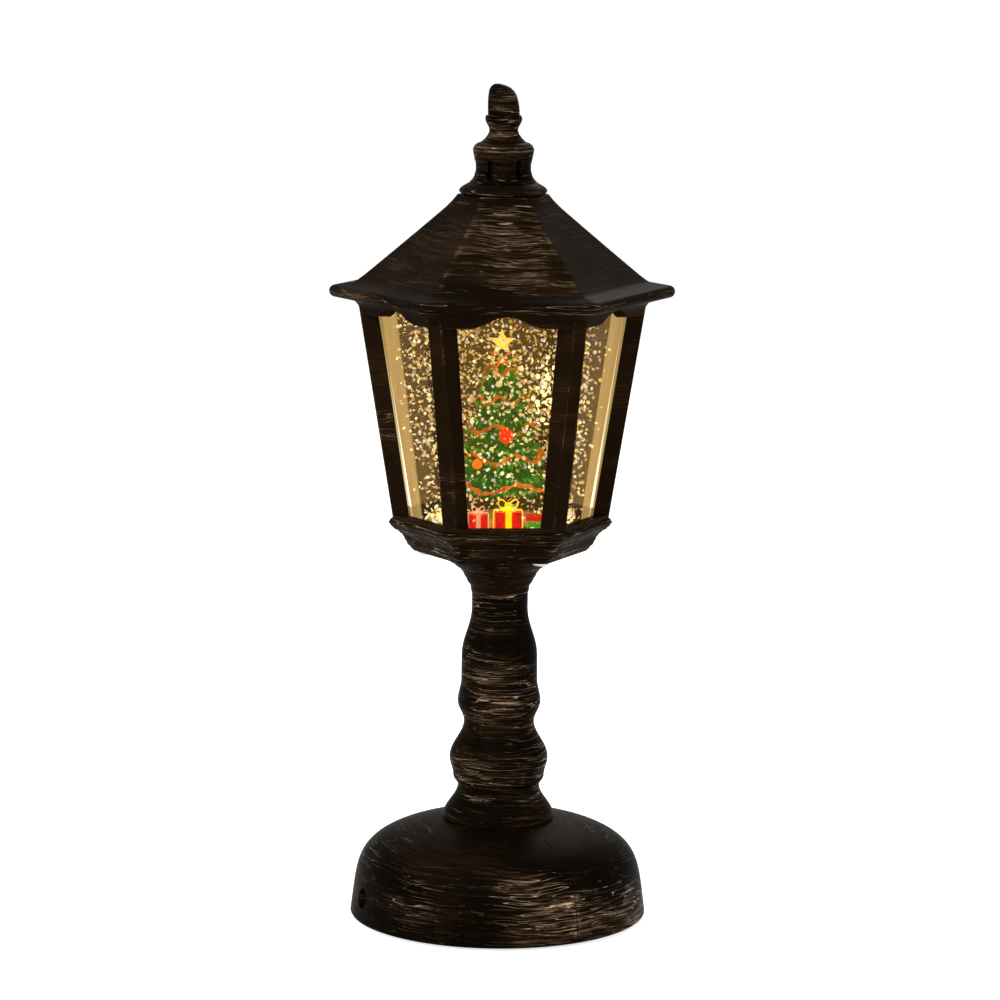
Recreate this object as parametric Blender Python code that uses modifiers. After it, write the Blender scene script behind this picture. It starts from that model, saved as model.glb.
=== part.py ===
"""A table lantern shaped like an old street lamp, with a water-filled glitter tank and a small tree inside.

Metres, +Z up. The origin is on the floor, under the middle of the lamp. One face of the six-sided
lantern looks along -Y, and two of its corners lie on the X axis. A cell box and a slide switch are
under the round base, a motor under the tank turns the impeller in the water through two magnets, and
three lights shine up through the tank's clear bottom.
"""

from math import cos, pi, radians, sin, sqrt, tan

import bmesh
import bpy
from mathutils import Matrix, Vector

MM = 0.001

# Clearances
fit_gap = 0.3 * MM  # between pieces that touch
run_gap = 0.4 * MM  # round a piece that turns or slides
overrun = 1.0 * MM  # how far a cutter passes what it cuts
hex_turn = cos(pi / 6)  # a hexagon's flat distance as a share of its corner radius
hex_gap = fit_gap / hex_turn

# Base and column, moulded in two halves that meet on an upright plane
column_height = 71.7 * MM
base_lean = 3.9 * MM  # how much narrower the base is at its shoulder
base_edge = 2.0 * MM  # rounding of the lower edge
base_lift = 0.6 * MM  # the lower edge stands this far above the floor
base_room = 9.4 * MM  # from the cell box's corners to the base's outside
base_headroom = 11.0 * MM  # from the cell box's top to the column's foot
shell_wall = 2.5 * MM
shoulder_fullness_share, shoulder_turn_share = 5.6, 1.52  # exponents of the base's rounded shoulder
shoulder_end = radians(60)  # where the shoulder meets the column's foot
column_radius = 15.3 * MM  # the ball, its widest ring
# Height share of the column, radius share of its ball
column_shares = (
    (1.000, 0.569),
    (0.930, 0.567),
    (0.724, 0.768),
    (0.616, 0.772),
    (0.520, 0.843),
    (0.431, 0.712),
    (0.273, 1.000),
    (0.190, 0.925),
    (0.148, 0.830),
    (0.010, 1.130),
)
ring_count = 3  # points on each swell of the column
seam_direction = radians(-60)  # the halves' plane, from +X
spigot_radius = 6.5 * MM
spigot_height = 2.6 * MM
spigot_wall = 2.0 * MM
bore_radius = spigot_radius - spigot_wall

# Screws
screw_radius = 1.2 * MM
screw_head = 2.5 * MM
screw_head_height = 0.9 * MM
pilot_radius = screw_radius + fit_gap
base_screw_inset = 7.6 * MM
base_screw_angles = (radians(-37), radians(37), radians(143), radians(217))
base_screw_length = 8.0 * MM
boss_radius = 3.2 * MM
boss_top_share = 0.645  # of the base's height

# Base plate and its foot
foot_thickness = 1.2 * MM
foot_inset = 3.9 * MM
foot_width = 4.8 * MM
plate_thickness = 2.5 * MM
plate_bottom = foot_thickness + fit_gap
plate_top = plate_bottom + plate_thickness

# Cells and their box
cell_radius = 7.25 * MM
cell_length = 50.5 * MM
cell_nub_radius = 2.75 * MM
cell_nub_length = 1.2 * MM
cell_pitch = 2 * cell_radius + run_gap
cell_count = 3
box_wall = 1.2 * MM
contact_thickness = 0.6 * MM
contact_bump_height = 0.5 * MM
contact_bump_radius = 2.2 * MM
box_half_width = cell_count / 2 * cell_pitch
box_half_length = cell_length / 2 + contact_thickness + contact_bump_height + 2 * fit_gap
box_side = box_half_width + box_wall
box_end = box_half_length + box_wall

# Cell door, which hooks in at one end and is held by a screw at the other
door_thickness = 1.8 * MM
door_lap = 0.6 * MM  # how far the door reaches under the box's walls
door_half_width = box_half_width + door_lap
door_end = box_half_length + door_lap
door_top = plate_bottom + door_thickness
tongue_radius = 3.6 * MM
tongue_reach = 3.6 * MM
door_screw_y = door_end + tongue_reach
door_screw_length = 4.2 * MM
door_screw_gap = 0.5 * MM
door_boss_radius = 4.3 * MM
door_boss_height = 5.0 * MM
hook_width = 5.0 * MM
hook_reach = 1.5 * MM
hook_thickness = 0.9 * MM
hook_place_share = 0.55  # of the door's half width

box_floor = door_top + fit_gap
cell_bottom = box_floor + run_gap
cell_centre = cell_bottom + cell_radius
box_ceiling = cell_bottom + 2 * cell_radius + fit_gap
box_top = box_ceiling + box_wall
base_radius = sqrt(box_side**2 + box_end**2) + base_room
base_height = box_top + base_headroom
column_top = base_height + column_height
base_screw_ring = base_radius - base_screw_inset
foot_outer = base_radius - foot_inset

# Switch, its board and the supply socket
switch_offset = 7.45 * MM  # of its middle from the cell box
switch_width = 4.4 * MM
switch_length = 9.0 * MM
switch_height = 3.4 * MM
knob_width = 1.8 * MM
knob_length = 2.0 * MM
knob_travel = 3.0 * MM
knob_rise = 4.2 * MM  # above the plate's underside
knob_drop = 0.9 * MM  # below it
board_width = 12.0 * MM
board_length = 24.0 * MM
board_thickness = 1.2 * MM
board_offset = 8.65 * MM  # of its middle from the cell box
peg_radius = 1.2 * MM
peg_inset = 2.2 * MM
socket_y = -14.8 * MM
socket_lift = 0.65 * MM
socket_hole = 3.1 * MM
socket_setback = 9.9 * MM  # from the base's outside
socket_gap = 1.65 * MM  # from the cell box
socket_width = 7.4 * MM
socket_bore = 2.75 * MM
socket_end_wall = 3.0 * MM
socket_pin = 0.65 * MM
pin_setback = 0.2 * MM
switch_x = box_side + switch_offset
board_x = box_side + board_offset
socket_front = base_radius - socket_setback
socket_length = socket_front - box_side - socket_gap
socket_z = plate_top + fit_gap + socket_width / 2 + socket_lift

# Flare on the column
flare_height = 12.6 * MM
flare_bottom = column_top + fit_gap
tray_bottom = flare_bottom + flare_height
# Height share of the flare, share of its upper radius
flare_shares = (
    (1.00, 1.000),
    (0.82, 0.830),
    (0.66, 0.700),
    (0.57, 0.620),
    (0.45, 0.570),
    (0.28, 0.515),
    (0.13, 0.457),
    (0.00, 0.447),
)
flare_wall = 1.2 * MM
chamber_side = 4.9 * MM  # round the motor, for the wires

# Motor, drive disc and lights, from the tray's floor up
tray_floor = 1.6 * MM
motor_radius = 6.0 * MM
motor_rim = 1.6 * MM
motor_drop = 7.4 * MM  # below the tray's floor
board_ring_thickness = 1.0 * MM
shaft_radius = 0.8 * MM
shaft_depth = 5.0 * MM
disc_radius = 10.0 * MM
disc_thickness = 1.6 * MM
disc_web = 0.6 * MM
magnet_pocket_inner = 3.6 * MM
magnet_pocket_outer = 7.2 * MM
light_radius = 1.7 * MM
light_margin = 1.8 * MM  # round each light, on the board
light_angles = (radians(90), radians(210), radians(330))
wire_hole = 1.2 * MM
wire_radius = 0.6 * MM
wire_apart = 1.3 * MM  # of each wire from the column's axis
wire_margin = 2.0 * MM  # outside the motor's rim

floor_top = tray_bottom + tray_floor
can_bottom = floor_top - motor_drop
motor_flange = motor_radius + motor_rim
wire_ring = motor_flange + wire_margin
light_ring = disc_radius + light_margin + light_radius
light_height = disc_thickness
board_ring_outer = light_ring + light_radius + light_margin
board_ring_bottom = floor_top + fit_gap
board_ring_top = board_ring_bottom + board_ring_thickness
disc_bottom = board_ring_top + run_gap
disc_top = disc_bottom + disc_thickness

# Tray screws and the tank's bottom
tank_boss_radius = 2.6 * MM
tank_boss_margin = 3.3 * MM  # outside the light board
tray_screw_ring = board_ring_outer + tank_boss_margin + tank_boss_radius
tray_screw_angles = (radians(60), radians(180), radians(300))
flare_radius = tray_screw_ring - screw_head - run_gap
tank_base_inset = 3.39 * MM  # of the screws from the tank bottom's corners
tank_base_thickness = 2.0 * MM
tank_base_corner = tray_screw_ring + tank_base_inset
gasket_thickness = 0.6 * MM
tank_seat = 0.6 * MM  # of the gasket's top below the tank base's top
base_bottom_z = disc_top + run_gap
base_top_z = base_bottom_z + tank_base_thickness
gasket_top = base_top_z - tank_seat
tank_bottom = gasket_top + fit_gap
tray_ledge = gasket_top - gasket_thickness - fit_gap

# Tray
tray_rim = 3.0 * MM  # above the tank's bottom
tray_reach = 1.44 * MM  # outside the posts' feet
tray_top = base_top_z + tray_rim
tray_height = tray_top - tray_bottom
# Height share of the tray, share of its widest corner radius
tray_shares = (
    (1.00, 0.974),
    (0.93, 0.991),
    (0.86, 1.000),
    (0.78, 0.983),
    (0.68, 0.955),
    (0.59, 0.911),
    (0.49, 0.879),
    (0.41, 0.862),
    (0.22, 0.836),
    (0.10, 0.802),
    (0.00, 0.775),
)

# Lantern frame: six posts with a flat outer face, which lean outwards
frame_height = 68.0 * MM
frame_lean = tan(radians(9.205))
post_half_face = 2.0 * MM
post_depth = 3.0 * MM
post_foot_half = 4.36 * MM  # half a post's width on its inner side, at its foot
post_head_half = 5.2 * MM  # and at its head
corner_ease = 0.25 * MM
inner_half_face = 0.4 * MM
cornice_reach = 2.0 * MM
cornice_height = 3.2 * MM
spigot_step = 0.3 * MM  # the upper spigot stands this far inside the posts' faces
upper_spigot_height = 2.8 * MM
lower_spigot_height = 2.4 * MM
lower_spigot_wall = 1.8 * MM
sill_height = 1.0 * MM
header_height = 4.6 * MM
arch_rise = 3.7 * MM
arch_share = 0.6  # of a window's half width
arch_count = 6
flank_margin = 0.4 * MM
tank_wall = 2.2 * MM
tank_rise = 3.8 * MM  # of its top above the frame's shoulder

frame_bottom = tray_top + fit_gap
frame_top = frame_bottom + frame_height
tank_side = tank_wall / hex_turn + 2 * hex_gap + corner_ease  # from the tank bottom's corner to a post's back
frame_bottom_radius = tank_base_corner + tank_side + post_depth + (frame_bottom - tank_bottom) * frame_lean
frame_top_radius = frame_bottom_radius + frame_height * frame_lean
tray_corner = frame_bottom_radius + tray_reach
tank_top = frame_top + tank_rise
tank_ceiling = tank_top - tank_wall
fill_hole = 4.0 * MM
plug_radius = 6.5 * MM
plug_height = 2.0 * MM

# Impeller
impeller_height = 2.0 * MM
impeller_radius = 9.0 * MM
blade_count = 4
blade_thickness = 1.2 * MM
blade_height = 0.8 * MM
hub_radius = 1.9 * MM
impeller_pin_radius = 0.6 * MM
magnet_radius = 6.0 * MM
impeller_bottom = base_top_z + run_gap
impeller_top = impeller_bottom + impeller_height

# Scene in the tank
ground_thickness = 1.0 * MM
terrace_thickness = 1.2 * MM  # the low ground round the mound over the impeller
mound_room = 1.4 * MM  # round the impeller
mound_wall = 0.9 * MM
mound_spread = 0.6 * MM  # how much wider the mound is at its foot
flow_hole = 1.4 * MM
flow_ring_share = 0.78  # of the impeller's radius
flow_angles = tuple(radians(30 + 60 * k) for k in range(6))
trunk_radius = 1.6 * MM
tree_lift = 8.2 * MM
tree_headroom = 17.4 * MM
tree_clear = 6.8 * MM  # round the lowest tier
tier_count = 5
tier_top_share = 0.34  # of the lowest tier's radius
tier_waist_share = 0.55  # of the tier below, at its top
tier_lip = 1.2 * MM
star_radius = 4.4 * MM
star_inner_share = 0.42
star_thickness = 1.8 * MM
star_point_count = 5
bauble_radius = 2.3 * MM
# Name, tier, angle from +X in degrees, radius share of the largest, finish
bauble_shares = (
    ("bauble_front", 2, -86, 1.0, "red_gloss"),
    ("bauble_left", 1, -120, 0.68, "orange_gloss"),
    ("bauble_right", 0, -40, 0.68, "gold_gloss"),
    ("bauble_side", 0, -165, 0.54, "red_gloss"),
)
gift_width = 8.0 * MM
gift_clear = 5.2 * MM  # from the middle gift's centre to the water
# Name, x and y as shares of the gifts' distance, then width, depth and height as shares of the widest
gift_shares = (
    ("gift_centre", 0.10, -1.00, 1.000, 0.750, 0.750),
    ("gift_left", -0.47, -0.92, 0.700, 0.650, 0.600),
    ("gift_right", 0.62, -0.92, 0.625, 0.625, 0.35),
)
ribbon_width = 1.8 * MM
ribbon_thickness = 0.6 * MM
lid_height = 1.4 * MM
lid_reach = 0.4 * MM
water_side = 2.1 * MM  # from the scene's room to the water's outside, at a corner
water_over = 5.2 * MM  # above the scene's room
room_straight_share = 0.56  # of the room's height
room_top_share = 0.34  # of its corner radius

ground_bottom = impeller_top + run_gap
ground_top = ground_bottom + ground_thickness
terrace_top = base_top_z + fit_gap + terrace_thickness
tree_bottom = ground_top + tree_lift
tree_top = tank_ceiling - tree_headroom
tier_pitch = (tree_top - tree_bottom) / tier_count

# Roof, chimney and finial
brim_height = 4.6 * MM
roof_height = 27.1 * MM
collar_height = 3.6 * MM
chimney_height = 12.0 * MM
finial_height = 17.6 * MM
eaves_reach = 1.27 * MM  # outside the posts' heads
brim_reach = 8.92 * MM
brim_nose = 1.9 * MM
nose_count = 6
# Height share of the roof, share of its eaves corner radius
roof_shares = ((1.0, 0.308), (0.793, 0.4285), (0.114, 0.9056), (0.0, 1.0))
roof_wall = 2.8 * MM  # measured level
roof_ceiling = 2.0 * MM
collar_radius = 13.5 * MM
# Height share of the collar, share of its widest radius
collar_shares = ((1.00, 0.770), (0.67, 0.919), (0.36, 1.000), (0.10, 0.960), (0.00, 0.870))
chimney_spigot = 6.2 * MM
spigot_wall_thin = 1.3 * MM
chimney_radius = 9.4 * MM
# Height share of the chimney, radius share of its rounded head
chimney_shares = (
    (1.000, 0.745),
    (0.960, 0.870),
    (0.900, 0.960),
    (0.810, 1.000),
    (0.720, 0.980),
    (0.600, 0.950),
    (0.420, 0.900),
    (0.290, 0.900),
    (0.150, 0.945),
    (0.060, 1.000),
    (0.000, 1.080),
)
chimney_waist_share = 0.9
chimney_wall = 1.46 * MM
chimney_lid = 2.6 * MM
slot_angles = tuple(radians(60 * k) for k in range(6))
slot_width = 2.0 * MM
slot_height = 6.2 * MM
slot_lift = 4.0 * MM
finial_radius = 5.6 * MM
# Height share of the finial, share of its widest radius
finial_shares = (
    (1.000, 0.000),
    (0.950, 0.460),
    (0.880, 0.710),
    (0.810, 0.790),
    (0.740, 0.850),
    (0.620, 0.870),
    (0.530, 0.920),
    (0.400, 1.000),
    (0.300, 0.920),
    (0.190, 0.780),
    (0.120, 0.850),
    (0.050, 1.000),
    (0.000, 1.180),
)
finial_screw_depth = 5.5 * MM

brim_bottom = frame_top + fit_gap
roof_bottom = brim_bottom + brim_height
roof_top = roof_bottom + roof_height
chimney_bottom = roof_top + collar_height + fit_gap
chimney_top = chimney_bottom + chimney_height
finial_bottom = chimney_top + fit_gap
eaves_corner = frame_top_radius + eaves_reach
brim_corner = frame_top_radius + brim_reach
chimney_bore = chimney_spigot - spigot_wall_thin
chimney_room = chimney_radius * chimney_waist_share - chimney_wall

# How many sides the turned pieces have
coarse_count, small_count, fine_count = 16, 24, 36


def fresh_scene():
    """Empties the file and makes one collection for the pieces and one for the cutters."""
    for obj in list(bpy.data.objects):
        bpy.data.objects.remove(obj, do_unlink=True)
    for name in ("christmas_lantern", "cutters"):
        collection = bpy.data.collections.new(name)
        bpy.context.scene.collection.children.link(collection)


def material(name, colour, roughness, metallic=0.0, clearness=0.0):
    """A Principled material, made once for each name."""
    found = bpy.data.materials.get(name)
    if found:
        return found
    made = bpy.data.materials.new(name)
    made.use_nodes = True
    shader = made.node_tree.nodes["Principled BSDF"]
    shader.inputs["Base Color"].default_value = (*colour, 1.0)
    shader.inputs["Roughness"].default_value = roughness
    shader.inputs["Metallic"].default_value = metallic
    shader.inputs["Transmission Weight"].default_value = clearness
    made.diffuse_color = (*colour, 1.0)
    return made


def finish(name):
    """The finishes, by name, with their colour, roughness, metallic share and clearness."""
    finishes = {
        "brushed_bronze": ((0.055, 0.035, 0.022), 0.42, 0.35, 0.0),
        "black_plastic": ((0.03, 0.03, 0.03), 0.5, 0.0, 0.0),
        "foot_foam": ((0.04, 0.04, 0.04), 0.9, 0.0, 0.0),
        "clear_acrylic": ((0.95, 0.93, 0.86), 0.05, 0.0, 0.9),
        "glitter_water": ((0.85, 0.78, 0.50), 0.1, 0.0, 0.7),
        "seal_rubber": ((0.75, 0.74, 0.70), 0.8, 0.0, 0.0),
        "snow_white": ((0.85, 0.85, 0.82), 0.7, 0.0, 0.0),
        "bark_brown": ((0.20, 0.11, 0.05), 0.8, 0.0, 0.0),
        "needle_green": ((0.03, 0.25, 0.06), 0.6, 0.0, 0.0),
        "star_yellow": ((0.95, 0.70, 0.10), 0.35, 0.0, 0.0),
        "red_gloss": ((0.75, 0.06, 0.03), 0.25, 0.0, 0.0),
        "orange_gloss": ((0.90, 0.35, 0.05), 0.25, 0.0, 0.0),
        "gold_gloss": ((0.85, 0.60, 0.15), 0.25, 0.4, 0.0),
        "gift_red": ((0.70, 0.05, 0.05), 0.5, 0.0, 0.0),
        "gift_green": ((0.10, 0.45, 0.12), 0.5, 0.0, 0.0),
        "ribbon_yellow": ((0.95, 0.80, 0.10), 0.45, 0.0, 0.0),
        "ribbon_white": ((0.90, 0.80, 0.80), 0.45, 0.0, 0.0),
        "steel": ((0.55, 0.55, 0.57), 0.35, 1.0, 0.0),
        "magnet_grey": ((0.20, 0.20, 0.22), 0.45, 0.8, 0.0),
        "white_nylon": ((0.80, 0.80, 0.78), 0.5, 0.0, 0.0),
        "board_green": ((0.05, 0.22, 0.10), 0.5, 0.0, 0.0),
        "light_lens": ((0.95, 0.90, 0.65), 0.2, 0.0, 0.3),
        "cell_jacket": ((0.10, 0.12, 0.16), 0.4, 0.2, 0.0),
        "wire_red": ((0.60, 0.04, 0.04), 0.5, 0.0, 0.0),
        "wire_black": ((0.03, 0.03, 0.03), 0.5, 0.0, 0.0),
    }
    return material(name, *finishes[name])


def place(obj, finish_name=None):
    """Puts a piece in its collection with its finish, or a cutter in the cutters, hidden from renders."""
    home = "christmas_lantern" if finish_name else "cutters"
    bpy.data.collections[home].objects.link(obj)
    if finish_name:
        obj.data.materials.append(finish(finish_name))
    else:
        obj.hide_render = True
        obj.display_type = "WIRE"
    return obj


def mesh_object(name, bm, finish_name=None, at=(0, 0, 0), turn=(0, 0, 0)):
    mesh = bpy.data.meshes.new(name)
    bm.to_mesh(mesh)
    bm.free()
    obj = bpy.data.objects.new(name, mesh)
    obj.location = at
    obj.rotation_euler = turn
    return place(obj, finish_name)


def turned(name, outline, steps, finish_name=None, at=(0, 0, 0), turn=(0, 0, 0), ring=False):
    """A turned piece: (radius, height) points down the outer side. A ring's outline closes on itself."""
    mesh = bpy.data.meshes.new(name)
    count = len(outline)
    edges = [(i, i + 1) for i in range(count - 1)] + ([(count - 1, 0)] if ring else [])
    mesh.from_pydata([(radius, 0, height) for radius, height in outline], edges, [])
    obj = bpy.data.objects.new(name, mesh)
    obj.location = at
    obj.rotation_euler = turn
    screw = obj.modifiers.new("turning", "SCREW")
    screw.axis = "Z"
    screw.steps = screw.render_steps = steps
    screw.use_merge_vertices = True
    screw.merge_threshold = 0.01 * MM
    screw.use_smooth_shade = steps > 6
    return place(obj, finish_name)


def box(name, low, high, finish_name=None):
    """A box between two corners, with its origin in its middle."""
    bm = bmesh.new()
    bmesh.ops.create_cube(bm, size=1)
    size = Vector(high) - Vector(low)
    bmesh.ops.scale(bm, vec=size, verts=bm.verts)
    return mesh_object(name, bm, finish_name, at=(Vector(low) + Vector(high)) / 2)


def rod(name, radius, low, high, finish_name=None, steps=small_count, at=(0, 0, 0), turn=(0, 0, 0)):
    """An upright cylinder from height low to high, moved to at and turned there."""
    bm = bmesh.new()
    middle = Matrix.Translation((0, 0, (low + high) / 2))
    bmesh.ops.create_cone(
        bm, cap_ends=True, segments=steps, radius1=radius, radius2=radius, depth=high - low, matrix=middle
    )
    return mesh_object(name, bm, finish_name, at=at, turn=turn)


def carve(obj, tool, operation="DIFFERENCE"):
    """Cuts, joins or keeps by another object, with a Boolean modifier."""
    modifier = obj.modifiers.new(tool.name, "BOOLEAN")
    modifier.operation = operation
    modifier.object = tool


def on_ring(radius, angle, height=0.0):
    return (radius * cos(angle), radius * sin(angle), height)


def post_radius(height):
    """How far the posts' outer faces lie from the axis at a height."""
    return frame_bottom_radius + (height - frame_bottom) * frame_lean


def tank_corner(height):
    """The tank's outer corner radius at a height."""
    return post_radius(height) - post_depth - hex_gap - corner_ease


def tank_inner_corner(height):
    return tank_corner(height) - tank_wall / hex_turn


def screw(name, length, finish_name="steel", at=(0, 0, 0), head_height=screw_head_height):
    """A screw that points up: its head's underside is at the bottom."""
    outline = [
        (0, head_height + length),
        (screw_radius * 0.6, head_height + length),
        (screw_radius, head_height + length - screw_radius),
        (screw_radius, head_height),
        (screw_head, head_height),
        (screw_head, head_height / 2),
        (screw_head * 0.7, 0),
        (0, 0),
    ]
    return turned(name, outline, coarse_count, finish_name, at=at)


def eased(shares, count):
    """Stations joined by half cosine swells, with count points on each."""
    points = [shares[0]]
    for (h0, r0), (h1, r1) in zip(shares, shares[1:]):
        for k in range(1, count + 1):
            along = k / count
            points.append((h0 + (h1 - h0) * along, r0 + (r1 - r0) * (1 - cos(pi * along)) / 2))
    return points


def column_points(count, inset=0.0):
    """The column's side, top to bottom, drawn in by inset."""
    return [
        (radius * column_radius - inset, base_height + height * column_height)
        for height, radius in eased(column_shares, count)
    ]


def shoulder_points(count, inset=0.0):
    """The base's rounded shoulder and side, from the column's foot down, drawn in by inset."""
    rise = (base_height - plate_bottom) / (sin(shoulder_end) ** (2 / shoulder_fullness_share)) - inset
    points = []
    for k in range(count, -1, -1):
        angle = shoulder_end * k / count
        height = sin(angle) ** (2 / shoulder_fullness_share)
        radius = (base_radius - inset - base_lean * height) * cos(angle) ** (2 / shoulder_turn_share)
        points.append((radius, plate_bottom + rise * height))
    return points


def post_half(name, side):
    """Half of the base and column shell. side is +1 or -1, across the halves' plane."""
    outer = [(spigot_radius, column_top + spigot_height), (spigot_radius, column_top)]
    outer += column_points(ring_count) + shoulder_points(8)
    edge = [
        (base_radius - base_edge * (1 - cos(angle)), plate_bottom + (base_lift - plate_bottom) * sin(angle))
        for angle in (radians(45), radians(90))
    ]
    inner = list(reversed(shoulder_points(5, shell_wall)))
    inner = [(inner[0][0], base_lift)] + inner
    inner += [point for point in reversed(column_points(1, shell_wall)) if point[1] > inner[-1][1]]
    inner += [(bore_radius, column_top - spigot_wall), (bore_radius, column_top + spigot_height)]
    inner = [(max(radius, bore_radius), height) for radius, height in inner]
    shell = turned(name, outer + edge + inner, fine_count, "brushed_bronze", ring=True)
    boss_top = base_height * boss_top_share
    for k, angle in enumerate(base_screw_angles):
        if side * sin(angle - seam_direction) > 0:
            at = on_ring(base_screw_ring, angle)
            boss = rod(f"{name}_boss_{k}", boss_radius, plate_top + fit_gap, boss_top, steps=coarse_count, at=at)
            carve(shell, boss, "UNION")
            depth = plate_top + base_screw_length
            pilot = rod(f"{name}_pilot_{k}", pilot_radius, plate_top - overrun, depth, steps=coarse_count, at=at)
            carve(shell, pilot)
    reach = base_radius + overrun
    half = box(
        f"{name}_other_side",
        (-reach, -reach, -overrun),
        (reach, fit_gap / 2, column_top + spigot_height + overrun),
    )
    shift = Matrix.Rotation(seam_direction if side > 0 else seam_direction + pi, 4, "Z")
    half.matrix_world = shift @ Matrix.Translation(half.location)
    carve(shell, half)
    if side < 0:
        quarter = (0, pi / 2, 0)
        hole = rod(
            "socket_opening",
            socket_hole,
            -base_radius - overrun,
            -socket_front,
            at=(0, socket_y, socket_z),
            turn=quarter,
        )
        carve(shell, hole)
    return shell


def foot_ring():
    inner = foot_outer - foot_width
    outline = [(foot_outer, foot_thickness), (foot_outer, 0), (inner, 0), (inner, foot_thickness)]
    return turned("foot_ring", outline, fine_count, "foot_foam", ring=True)


def base_plate():
    """The disc that closes the base, with the cell box, the pegs for the board and every opening."""
    plate_radius = base_radius - shell_wall - 2 * fit_gap
    plate = rod("base_plate", plate_radius, plate_bottom, plate_top, "black_plastic", fine_count)
    low = (-box_side, -box_end, plate_bottom + overrun)
    carve(plate, box("cell_box", low, (box_side, box_end, box_top)), "UNION")
    boss_top = box_floor + door_boss_height
    at = (0, door_screw_y, 0)
    carve(plate, rod("door_boss", door_boss_radius, plate_bottom + overrun, boss_top, at=at), "UNION")
    for side in (-1, 1):
        at = (board_x + board_width / 2 - peg_inset, side * (board_length / 2 - peg_inset), 0)
        peg_top = plate_top + switch_height + fit_gap
        carve(plate, rod(f"board_peg_{side}", peg_radius, plate_top - overrun, peg_top, steps=coarse_count, at=at), "UNION")
    inside = ((-box_half_width, -box_half_length, plate_bottom - overrun), (box_half_width, box_half_length, box_ceiling))
    carve(plate, box("cell_room", *inside))
    wide, end = door_half_width + run_gap, door_end + run_gap
    carve(plate, box("door_recess", (-wide, -end, plate_bottom - overrun), (wide, end, box_floor)))
    tongue = tongue_radius + run_gap
    carve(plate, rod("tongue_recess", tongue, plate_bottom - overrun, box_floor, at=(0, door_screw_y, 0)))
    neck = ((-tongue, 0, plate_bottom - overrun), (tongue, door_screw_y, box_floor))
    carve(plate, box("tongue_neck", *neck))
    hole = screw_radius + door_screw_gap
    carve(plate, rod("door_screw_hole", hole, plate_bottom - overrun, boss_top - overrun, at=(0, door_screw_y, 0)))
    for side in (-1, 1):
        middle = side * door_half_width * hook_place_share
        low = (middle - hook_width / 2 - run_gap, -door_end - hook_reach - 2 * run_gap, door_top - hook_thickness - run_gap)
        high = (middle + hook_width / 2 + run_gap, -door_end + overrun + run_gap, plate_top + overrun)
        carve(plate, box(f"hook_slot_{side}", low, high))
    slot_x = knob_width / 2 + run_gap
    slot_y = (knob_travel + knob_length) / 2 + run_gap
    low = (switch_x - slot_x, -slot_y, plate_bottom - overrun)
    carve(plate, box("knob_slot", low, (switch_x + slot_x, slot_y, plate_top + overrun)))
    for k, angle in enumerate(base_screw_angles):
        at = on_ring(base_screw_ring, angle)
        through = rod(f"screw_hole_{k}", pilot_radius, plate_bottom - overrun, plate_top + overrun, steps=coarse_count, at=at)
        carve(plate, through)
        sunk = plate_bottom + screw_head_height + 2 * fit_gap
        head = rod(f"screw_head_room_{k}", screw_head + fit_gap, plate_bottom - overrun, sunk, steps=coarse_count, at=at)
        carve(plate, head)
    return plate


def base_screws():
    for k, angle in enumerate(base_screw_angles):
        at = on_ring(base_screw_ring, angle, plate_bottom + fit_gap)
        screw(f"base_screw_{k + 1}", base_screw_length, at=at)


def battery_door():
    """The door, with its two hooks and its screw tongue. Its origin is on its hinge line."""
    low, high = (-door_half_width, -door_end, plate_bottom), (door_half_width, door_end, door_top)
    door = box("battery_door", low, high, "black_plastic")
    shift = door.location - Vector((0, -door_end, plate_bottom))
    door.data.transform(Matrix.Translation(shift))
    door.location = (0, -door_end, plate_bottom)
    carve(door, rod("door_tongue", tongue_radius, plate_bottom, door_top, at=(0, door_screw_y, 0)), "UNION")
    neck = ((-tongue_radius, 0, plate_bottom), (tongue_radius, door_screw_y, door_top))
    carve(door, box("door_neck", *neck), "UNION")
    for side in (-1, 1):
        middle = side * door_half_width * hook_place_share
        low = (middle - hook_width / 2, -door_end - hook_reach, door_top - hook_thickness)
        high = (middle + hook_width / 2, -door_end + overrun, door_top)
        carve(door, box(f"door_hook_{side}", low, high), "UNION")
    hole = rod("door_hole", pilot_radius, plate_bottom - overrun, door_top + overrun, steps=coarse_count, at=(0, door_screw_y, 0))
    carve(door, hole)
    head_bottom = plate_bottom - fit_gap - screw_head_height
    screw("door_screw", door_screw_length, at=(0, door_screw_y, head_bottom))
    return door


def cells():
    """Three cells side by side, each turned end for end from the next, and their contact plates."""
    body = cell_length - cell_nub_length
    bead = cell_nub_length / 2
    outline = [
        (0, cell_length),
        (cell_nub_radius, cell_length),
        (cell_nub_radius, body),
        (cell_radius - bead, body),
        (cell_radius, body - bead),
        (cell_radius, bead),
        (cell_radius - bead, 0),
        (0, 0),
    ]
    for k in range(cell_count):
        step = k - (cell_count - 1) / 2
        way = 1 if k % 2 else -1
        at = (step * cell_pitch, -way * cell_length / 2, cell_centre)
        turned(f"battery_{k + 1}", outline, small_count, "cell_jacket", at=at, turn=(-way * pi / 2, 0, 0))
    for name, side in (("contact_plate_front", -1), ("contact_plate_rear", 1)):
        far = side * (box_half_length - fit_gap)
        near = side * (box_half_length - fit_gap - contact_thickness)
        half = box_half_width - fit_gap
        low = (-half, min(far, near), box_floor + fit_gap)
        plate = box(name, low, (half, max(far, near), box_ceiling - fit_gap), "steel")
        tip = side * (cell_length / 2 + fit_gap)
        for k in range(cell_count):
            step = k - (cell_count - 1) / 2
            bump = rod(
                f"{name}_bump_{k}",
                contact_bump_radius,
                min(-tip, -far + side * contact_thickness / 2),
                max(-tip, -far + side * contact_thickness / 2),
                steps=coarse_count,
                at=(step * cell_pitch, 0, cell_centre),
                turn=(pi / 2, 0, 0),
            )
            carve(plate, bump, "UNION")


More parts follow.
